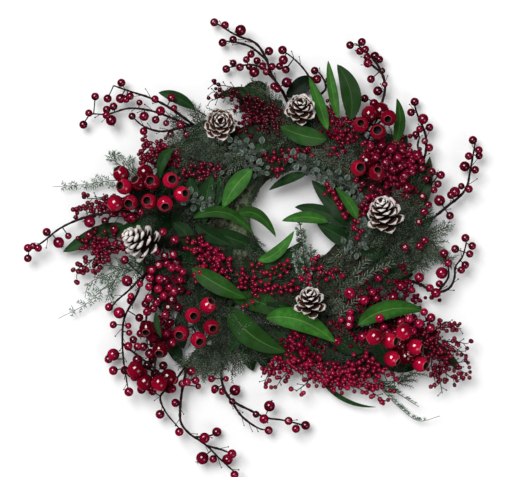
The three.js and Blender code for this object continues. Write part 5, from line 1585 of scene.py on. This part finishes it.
# From base to tip: the share of a cone's radius, and how many degrees the scales open from its axis
CONE_SHARES = ([0, 0.14, 0.4, 0.7, 1], [0.88, 1.0, 0.86, 0.56, 0.22])
SCALE_TILTS = ([0, 0.3, 0.7, 1], [98, 78, 60, 38])

# The turn from scale to scale, and the length of a cone with the chosen number of scales, in millimetres
SCALE_TURN = 2.39996
USUAL_CONE = 42


def scale_shape(length, half, thick, curl):
    """A cone's scale: narrow at its root, widest near its round lip, cupped, with a thick lip."""
    rings, edge, along = [], [], []
    for u in np.linspace(0, 1, 9):
        near_lip = max(0.0, (u - 0.72) / 0.28)
        width = half * (0.28 + 0.72 * min(1, u / 0.72) ** 1.1) * math.sqrt(max(0.03, 1 - near_lip**2))
        depth = thick * (0.45 + 0.75 * u**2)
        front, back, rim = [], [], []
        for v in SCALE_ACROSS:
            cup = half * 0.28 * v * v * u
            corner = np.array([u * length, v * width, curl * u**2.2 * length + cup])
            half_depth = (0, 0, depth / 2 * (1 - 0.6 * v * v))
            front.append(corner + half_depth)
            back.append(corner - half_depth)
            rim.append(max(near_lip**0.9, abs(v) ** 5 * min(1, max(0, (u - 0.5) / 0.3))))
        rings.append(front + back[-2:0:-1])
        edge += rim + [r * 0.75 for r in rim[-2:0:-1]]
        along += [u] * len(rings[0])
    return loft(rings), np.array([*edge, 0, 1]), np.array([*along, 0, 1])


class WREATH_OT_cones(Operator):
    """Build the pinecones with frosted scales"""

    bl_idname = "wreath.cones"
    bl_label = "Pinecones"

    def execute(self, context):
        tint = colours()
        finish = scale_skin("cone scale", tint.scale, tint.frost)
        count = context.scene.wreath_sizes.scales
        for name, cone in CONES.items():
            rng, form, skin = started(name)
            place, towards = at_picture(*cone["at"]), at_picture(*cone["towards"])
            turn, lean = math.atan2(*(towards - place)[::-1]), math.radians(cone["lean"])
            flat = math.sin(lean)
            axis = np.array([flat * math.cos(turn), flat * math.sin(turn), math.cos(lean)])
            across, over, _ = facing(axis)
            radius, length = cone["radius"], cone["length"]
            middle = np.array([*place, form.middle[2]])
            core = [middle + axis * length * s for s in (-0.42, -0.2, 0.1, 0.36)]
            # The core has a low along mark, so it takes the near-black painted shade of the scale roots.
            skin.add(tube(core, np.array([0.3, 0.42, 0.34, 0.12]) * radius, 10), 0, 0.3, 0, 0.1)
            rows = round(count * length / USUAL_CONE)
            for i in range(rows):
                h = i / (rows - 1)
                angle = i * SCALE_TURN + rng.uniform(-0.06, 0.06)
                out = across * math.cos(angle) + over * math.sin(angle)
                share = np.interp(h, *CONE_SHARES)
                tilt = math.radians(np.interp(h, *SCALE_TILTS))
                direction = out * math.sin(tilt) + axis * math.cos(tilt)
                reach = radius * share / max(math.sin(tilt), 0.62) * rng.uniform(0.94, 1.03)
                shape, edge, along = scale_shape(reach, radius * (0.11 + 0.19 * share), radius * 0.1, 0.16)
                side = np.cross(axis, out)
                normal = unit(np.cross(direction, side))
                if normal @ axis < 0 and h < 0.9:
                    normal = -normal
                root = middle + axis * length * (-0.36 + 0.68 * h)
                corners = root + shape[0] @ np.array([direction, side, normal])
                corners[:, 2] = np.clip(corners[:, 2], 0.5, form.high + 1.5)
                tone = rng.uniform(0.6, 1) * (1 - 1.6 * cone["frost"])
                skin.add((corners, shape[1]), 0, tone, edge + cone["frost"] + rng.uniform(-0.06, 0.2), along)
            skin.piece(name + "_scales", "cone_scales", [finish], name)
        return {"FINISHED"}


# Middles and reaches of the dark pips deep in the wreath, whose darkness is partly their own colour and
# partly painted shade
DARK_PIPS = [
    (405, 292, 26), (362, 300, 26), (345, 336, 26), (385, 316, 20), (398, 160, 24), (172, 290, 16),
    (160, 335, 16), (425, 345, 24), (170, 156, 20), (252, 112, 18), (300, 345, 22), (400, 190, 20),
    (340, 130, 18), (410, 330, 20),
]

# Middles, reaches, numbers and brightness of the paler shoots that lie over the dark ones
THICKETS = [
    (405, 232, 24, 44, 0.95), (424, 250, 14, 18, 1.0), (390, 245, 14, 16, 0.7), (404, 205, 12, 12, 0.8),
    (322, 158, 14, 26, 1.1), (200, 152, 22, 30, 0.8), (225, 158, 12, 12, 0.7), (236, 162, 10, 12, 0.9),
    (232, 330, 12, 12, 0.9), (212, 356, 18, 18, 0.9), (365, 240, 12, 14, 0.7), (350, 285, 12, 12, 0.9),
    (402, 378, 14, 12, 0.7), (335, 310, 10, 10, 0.9), (144, 212, 10, 10, 0.7), (222, 312, 8, 8, 0.9),
    (286, 130, 10, 10, 0.8),
]

# Middles, reaches and numbers of the dark leaves that lie lowest of all, whose darkness is partly their own
# colour and partly painted shade
BED_LEAVES = [
    (168, 222, 16, 12), (142, 194, 5, 3), (166, 204, 10, 6), (182, 244, 12, 6), (152, 226, 6, 3),
    (366, 352, 14, 6), (352, 340, 10, 4), (300, 90, 4, 1), (222, 312, 5, 3), (190, 277, 6, 5),
    (182, 292, 6, 3), (364, 366, 6, 3), (255, 96, 10, 4), (326, 352, 8, 6), (346, 372, 5, 3),
]

# Both ends of the pale pine sprigs that lie on top, with their height in millimetres
PINE_SPRIGS = [((355, 283), (386, 256), 52), ((352, 278), (362, 258), 50), ((338, 318), (352, 296), 46)]

# The part of the picture that the body is in, and where its quarters meet
BODY_ACROSS = (125, 440)
BODY_DOWN = (90, 382)
BODY_MIDDLE = at_picture(290, 230)

# How many fans the body has, shoots the hole and pips each place
BODY_FANS = 380
LEAF_EVERY = 5
HOLE_SHOOTS = 210
PIPS_EACH = 60

# How near foliage comes to the hole's middle, and the band of the shoots round it, in millimetres
NEAREST_FAN = 56 * MM_PER_POINT
NEAREST_TIP = 70
NEAREST_THICKET = 68
NEAREST_PIP = 65.0
HOLE_BAND = (61, 84)

# How spread out things are about their middle, as a share of their reach
SPREAD = 0.6


def ring_height(distance):
    """The height of the foliage's bed at a distance from the hole's middle, in millimetres."""
    return float(np.interp(distance, [60, 80, 100, 120, 145, 190, 260], [22, 34, 38, 36, 26, 16, 12]))


def quarter_of(place, middle):
    """The quarter round a middle that a place is in: 2 and 3 are on the right, and 1 and 3 below."""
    return int(place[0] > middle[0]) * 2 + int(place[1] < middle[1])


def scattered(rows, rng):
    """Places spread about the middle of each row, with that middle and what else the row says."""
    for px, py, reach, count, *rest in rows:
        middle = at_picture(px, py)
        for _ in range(count):
            yield middle + rng.normal(0, reach * SPREAD, 2), middle, *rest


def fill_body(shoots, leaves, rng, size):
    """Adds fans of dark shoots all over the body, and a dark leaf in place of every fifth."""
    made = 0
    while made < BODY_FANS:
        px, py = rng.uniform(*BODY_ACROSS), rng.uniform(*BODY_DOWN)
        from_hole = np.array([px - HOLE_CENTRE[0], HOLE_CENTRE[1] - py])
        distance = np.linalg.norm(from_hole) * MM_PER_POINT
        if distance < NEAREST_FAN or not is_inside((px, py), BODY_OUTLINE):
            continue
        radial = np.append(unit(from_hole), 0)
        onward = np.cross(UP, radial)
        heading = unit(onward * 0.8 + radial * rng.uniform(-0.1, 0.7) + rng.normal(0, 0.25, 3) * (1, 1, 0.5))
        length = rng.uniform(26, 46)
        place = at_picture(px, py)
        tip = place + heading[:2] * length
        if np.linalg.norm(tip - RING_MIDDLE) < NEAREST_TIP or not is_inside(to_picture(tip), BODY_OUTLINE):
            continue
        height = ring_height(distance) + rng.uniform(-3, 2)
        end_height = ring_height(np.linalg.norm(tip - RING_MIDDLE)) + rng.uniform(-2, 5)
        start = np.array([*place, height])
        heading = unit(np.array([*heading[:2] * length, end_height - height]))
        quarter = quarter_of(place, BODY_MIDDLE)
        made += 1
        if made % LEAF_EVERY == 0:
            end = start + heading * length * 1.35
            rib = bow(start, (start + end) / 2 + UP * rng.uniform(1, 4), end, 14) - UP * 6
            rib[:, 2] = np.maximum(rib[:, 2], 2)
            add_leaf(leaves[quarter // 2], rib, rng.uniform(16, 23), rng, size["leaf"], rng.uniform(0.2, 0.7))
            continue
        for spread in (-0.45, 0, 0.45):
            turned_heading = unit(heading + np.cross(heading, UP) * spread)
            add_shoot(shoots[quarter], start, turned_heading, length * rng.uniform(0.7, 1), size["needle"],
                      1.6, rng, rng.uniform(0.15, 0.85))


def line_hole(shoots, rng, size):
    """Adds shoots that lie round the hole, apart from the stretch on the left where the ring shows."""
    for _ in range(HOLE_SHOOTS):
        angle = rng.uniform(-math.pi, math.pi)
        if angle > 2.6 or angle < -2.95:
            continue
        radial = np.array([math.cos(angle), math.sin(angle), 0])
        distance = rng.uniform(*HOLE_BAND)
        start = np.array([*RING_MIDDLE, rng.uniform(14, 38)]) + radial * distance
        heading = unit(np.cross(UP, radial) + radial * rng.uniform(-0.35, 0.2) + UP * rng.uniform(-0.1, 0.25))
        add_shoot(shoots[quarter_of(start, RING_MIDDLE)], start, heading, rng.uniform(16, 26), size["needle"],
                  0.9, rng, rng.uniform(0.3, 0.8))


def add_thickets(shoots, rng, size):
    """Adds the paler shoots."""
    for place, middle, tone in scattered(THICKETS, rng):
        away = place - RING_MIDDLE
        distance = np.linalg.norm(away)
        if distance < NEAREST_THICKET:
            continue
        heading = unit(np.append(np.array([-away[1], away[0]]) / distance + rng.normal(0, 0.45, 2), 0.1))
        start = np.array([*place, ring_height(distance) + rng.uniform(2, 8)]) - heading * 8
        skin = shoots[quarter_of(middle, BODY_MIDDLE)]
        add_shoot(skin, start, heading, rng.uniform(16, 26), size["needle"], 1.2, rng,
                  tone * rng.uniform(0.4, 1.5))


def add_bed_leaves(leaves, rng, size):
    """Adds the dark leaves that lie lowest of all."""
    for place, middle in scattered(BED_LEAVES, rng):
        away = unit(place - RING_MIDDLE)
        reach = unit(np.array([-away[1], away[0]]) + rng.normal(0, 0.5, 2)) * 22
        height = rng.uniform(7, 13)
        rib = bow([*(place - reach), height], [*place, height + 4], [*(place + reach), height - 2], 12)
        skin = leaves[quarter_of(middle, BODY_MIDDLE) // 2]
        add_leaf(skin, rib, rng.uniform(18, 25), rng, size["leaf"], rng.uniform(0.05, 0.3))


def add_pine_sprigs(shoots, rng):
    """Adds the pale sprigs with long needles."""
    for start, end, height in PINE_SPRIGS:
        start, end = (np.array([*at_picture(*place), height]) for place in (start, end))
        skin, length = shoots[quarter_of(start, RING_MIDDLE)], np.linalg.norm(end - start)
        add_shoot(skin, start, unit(end - start), length, 9, 1.7, rng, 1.4, 0.75)


def dark_pips(rng):
    """A skin of the dark pips."""
    skin = Skin()
    for px, py, reach in DARK_PIPS:
        spread = at_picture(px, py) + rng.normal(0, reach * SPREAD, (PIPS_EACH, 2))
        pips = np.column_stack([spread, np.zeros(PIPS_EACH)])
        for pip in pips:
            distance = max(NEAREST_PIP, np.linalg.norm(pip[:2] - RING_MIDDLE))
            pip[:2] = RING_MIDDLE + unit(pip[:2] - RING_MIDDLE) * distance
            pip[2] = ring_height(distance) + rng.uniform(-3, 3)
        skin.add_copies(BUD, pips, rng.uniform(2.6, 3.8, PIPS_EACH), 0, rng.uniform(0.08, 0.35, PIPS_EACH))
    return skin


class WREATH_OT_undergrowth(Operator):
    """Build the dark foliage that fills the wreath's body between the sprays, dark partly by its own colour
    and partly as painted shade of the deep gaps
    """

    bl_idname = "wreath.undergrowth"
    bl_label = "Undergrowth"

    def execute(self, context):
        tint, size = colours(), sizes()
        stalk = bark("undergrowth stem", (0.05, 0.04, 0.03))
        # The undergrowth's darker colours and low tones are partly painted shade of the deep gaps.
        green = needle_skin("undergrowth needles", scaled(tint.needle, 0.8), tint.needle_tip, 0.5)
        dark = leaf_skin("undergrowth leaf", scaled(tint.dark_leaf, 0.8), scaled(tint.vein, 0.2))
        rng = chance("undergrowth")
        shoots = [Skin() for _ in range(4)]
        leaves = [Skin() for _ in range(2)]
        fill_body(shoots, leaves, rng, size)
        line_hole(shoots, rng, size)
        add_thickets(shoots, rng, size)
        add_bed_leaves(leaves, rng, size)
        add_pine_sprigs(shoots, rng)
        for quarter, skin in enumerate(shoots):
            skin.piece(f"undergrowth_needles_{quarter}", "fern_needle", [stalk, green])
        for half, skin in enumerate(leaves):
            skin.piece(f"undergrowth_leaves_{half}", "dark_leaf", [stalk, dark])
        pip = lacquer("undergrowth pip", tint.pip, 0.4, 0.1, 0.1)
        dark_pips(rng).piece("undergrowth_pips", "pip_skin", [pip])
        return {"FINISHED"}


# Half the floor's side in metres, the sensor in millimetres, and the height in metres that fills the picture
FLOOR_HALF = 8.0
SENSOR_WIDTH = 36
FRAMED_HEIGHT = 0.03
WORLD_LIGHT = 0.38

# The lamps: place, side and power
LAMPS = {"key": ((-1.7, 2.0, 4.8), 3.0, 255), "fill": ((2.2, -2.0, 3.0), 2.0, 22)}


class WREATH_OT_stage(Operator):
    """Build the floor, the lights and the camera"""

    bl_idname = "wreath.stage"
    bl_label = "Stage"

    def execute(self, context):
        scene = context.scene
        mesh = bpy.data.meshes.new("floor")
        corners = [(x * FLOOR_HALF, y * FLOOR_HALF, 0) for x, y in ((-1, -1), (1, -1), (1, 1), (-1, 1))]
        mesh.from_pydata(corners, [], [(0, 1, 2, 3)])
        floor = in_scene("floor", mesh)
        paper = Finish("floor paper", 0.9)
        paper.set(Base_Color=(0.95, 0.95, 0.95, 1))
        mesh.materials.append(paper.material)
        floor.visible_glossy = False
        world = bpy.data.worlds.new("studio")
        world.use_nodes = True
        background = world.node_tree.nodes["Background"]
        background.inputs["Color"].default_value = (1, 1, 1, 1)
        background.inputs["Strength"].default_value = WORLD_LIGHT
        world.cycles_visibility.glossy = False
        scene.world = world
        for name, (place, size, power) in LAMPS.items():
            light = bpy.data.lights.new(name, "AREA")
            light.size, light.energy = size, power
            lamp = in_scene(name, light)
            lamp.location = place
            lamp.rotation_euler = (-Vector(place)).to_track_quat("-Z", "Y").to_euler()
        height = scene.wreath_sizes.camera
        middle = at_picture(PICTURE_SIZE[0] / 2, PICTURE_SIZE[1] / 2) * METRE
        data = bpy.data.cameras.new("camera")
        data.sensor_width = SENSOR_WIDTH
        data.lens = SENSOR_WIDTH * (height - FRAMED_HEIGHT) / (PICTURE_SIZE[0] * MM_PER_POINT * METRE)
        data.clip_end = 50
        camera = in_scene("camera", data)
        camera.location = (middle[0], middle[1], height)
        scene.camera = camera
        scene.view_settings.view_transform = "Standard"
        return {"FINISHED"}


OPERATORS = (
    WREATH_OT_base_ring, WREATH_OT_undergrowth, WREATH_OT_needles, WREATH_OT_leaves, WREATH_OT_pips,
    WREATH_OT_branches, WREATH_OT_round_leaves, WREATH_OT_hips, WREATH_OT_cones, WREATH_OT_stage,
)


class WREATH_PT_panel(Panel):
    """Lists the wreath's pieces and settings"""

    bl_label = "Wreath"
    bl_idname = "WREATH_PT_panel"
    bl_space_type = "VIEW_3D"
    bl_region_type = "UI"
    bl_category = "Wreath"

    def draw(self, context):
        for operator in OPERATORS:
            self.layout.operator(operator.bl_idname)
        for group in (context.scene.wreath_sizes, context.scene.wreath_colours):
            for name in group.__annotations__:
                self.layout.prop(group, name)


CLASSES = (WreathColours, WreathSizes, *OPERATORS, WREATH_PT_panel)


def register():
    for entry in CLASSES:
        bpy.utils.register_class(entry)
    bpy.types.Scene.wreath_colours = PointerProperty(type=WreathColours)
    bpy.types.Scene.wreath_sizes = PointerProperty(type=WreathSizes)


def unregister():
    del bpy.types.Scene.wreath_sizes
    del bpy.types.Scene.wreath_colours
    for entry in reversed(CLASSES):
        bpy.utils.unregister_class(entry)


def main():
    """Builds every piece and the stage."""
    register()
    for step in (
        bpy.ops.wreath.base_ring, bpy.ops.wreath.undergrowth, bpy.ops.wreath.needles, bpy.ops.wreath.leaves,
        bpy.ops.wreath.pips, bpy.ops.wreath.branches, bpy.ops.wreath.round_leaves, bpy.ops.wreath.hips,
        bpy.ops.wreath.cones, bpy.ops.wreath.stage,
    ):
        step()


if __name__ == "__main__":
    main()
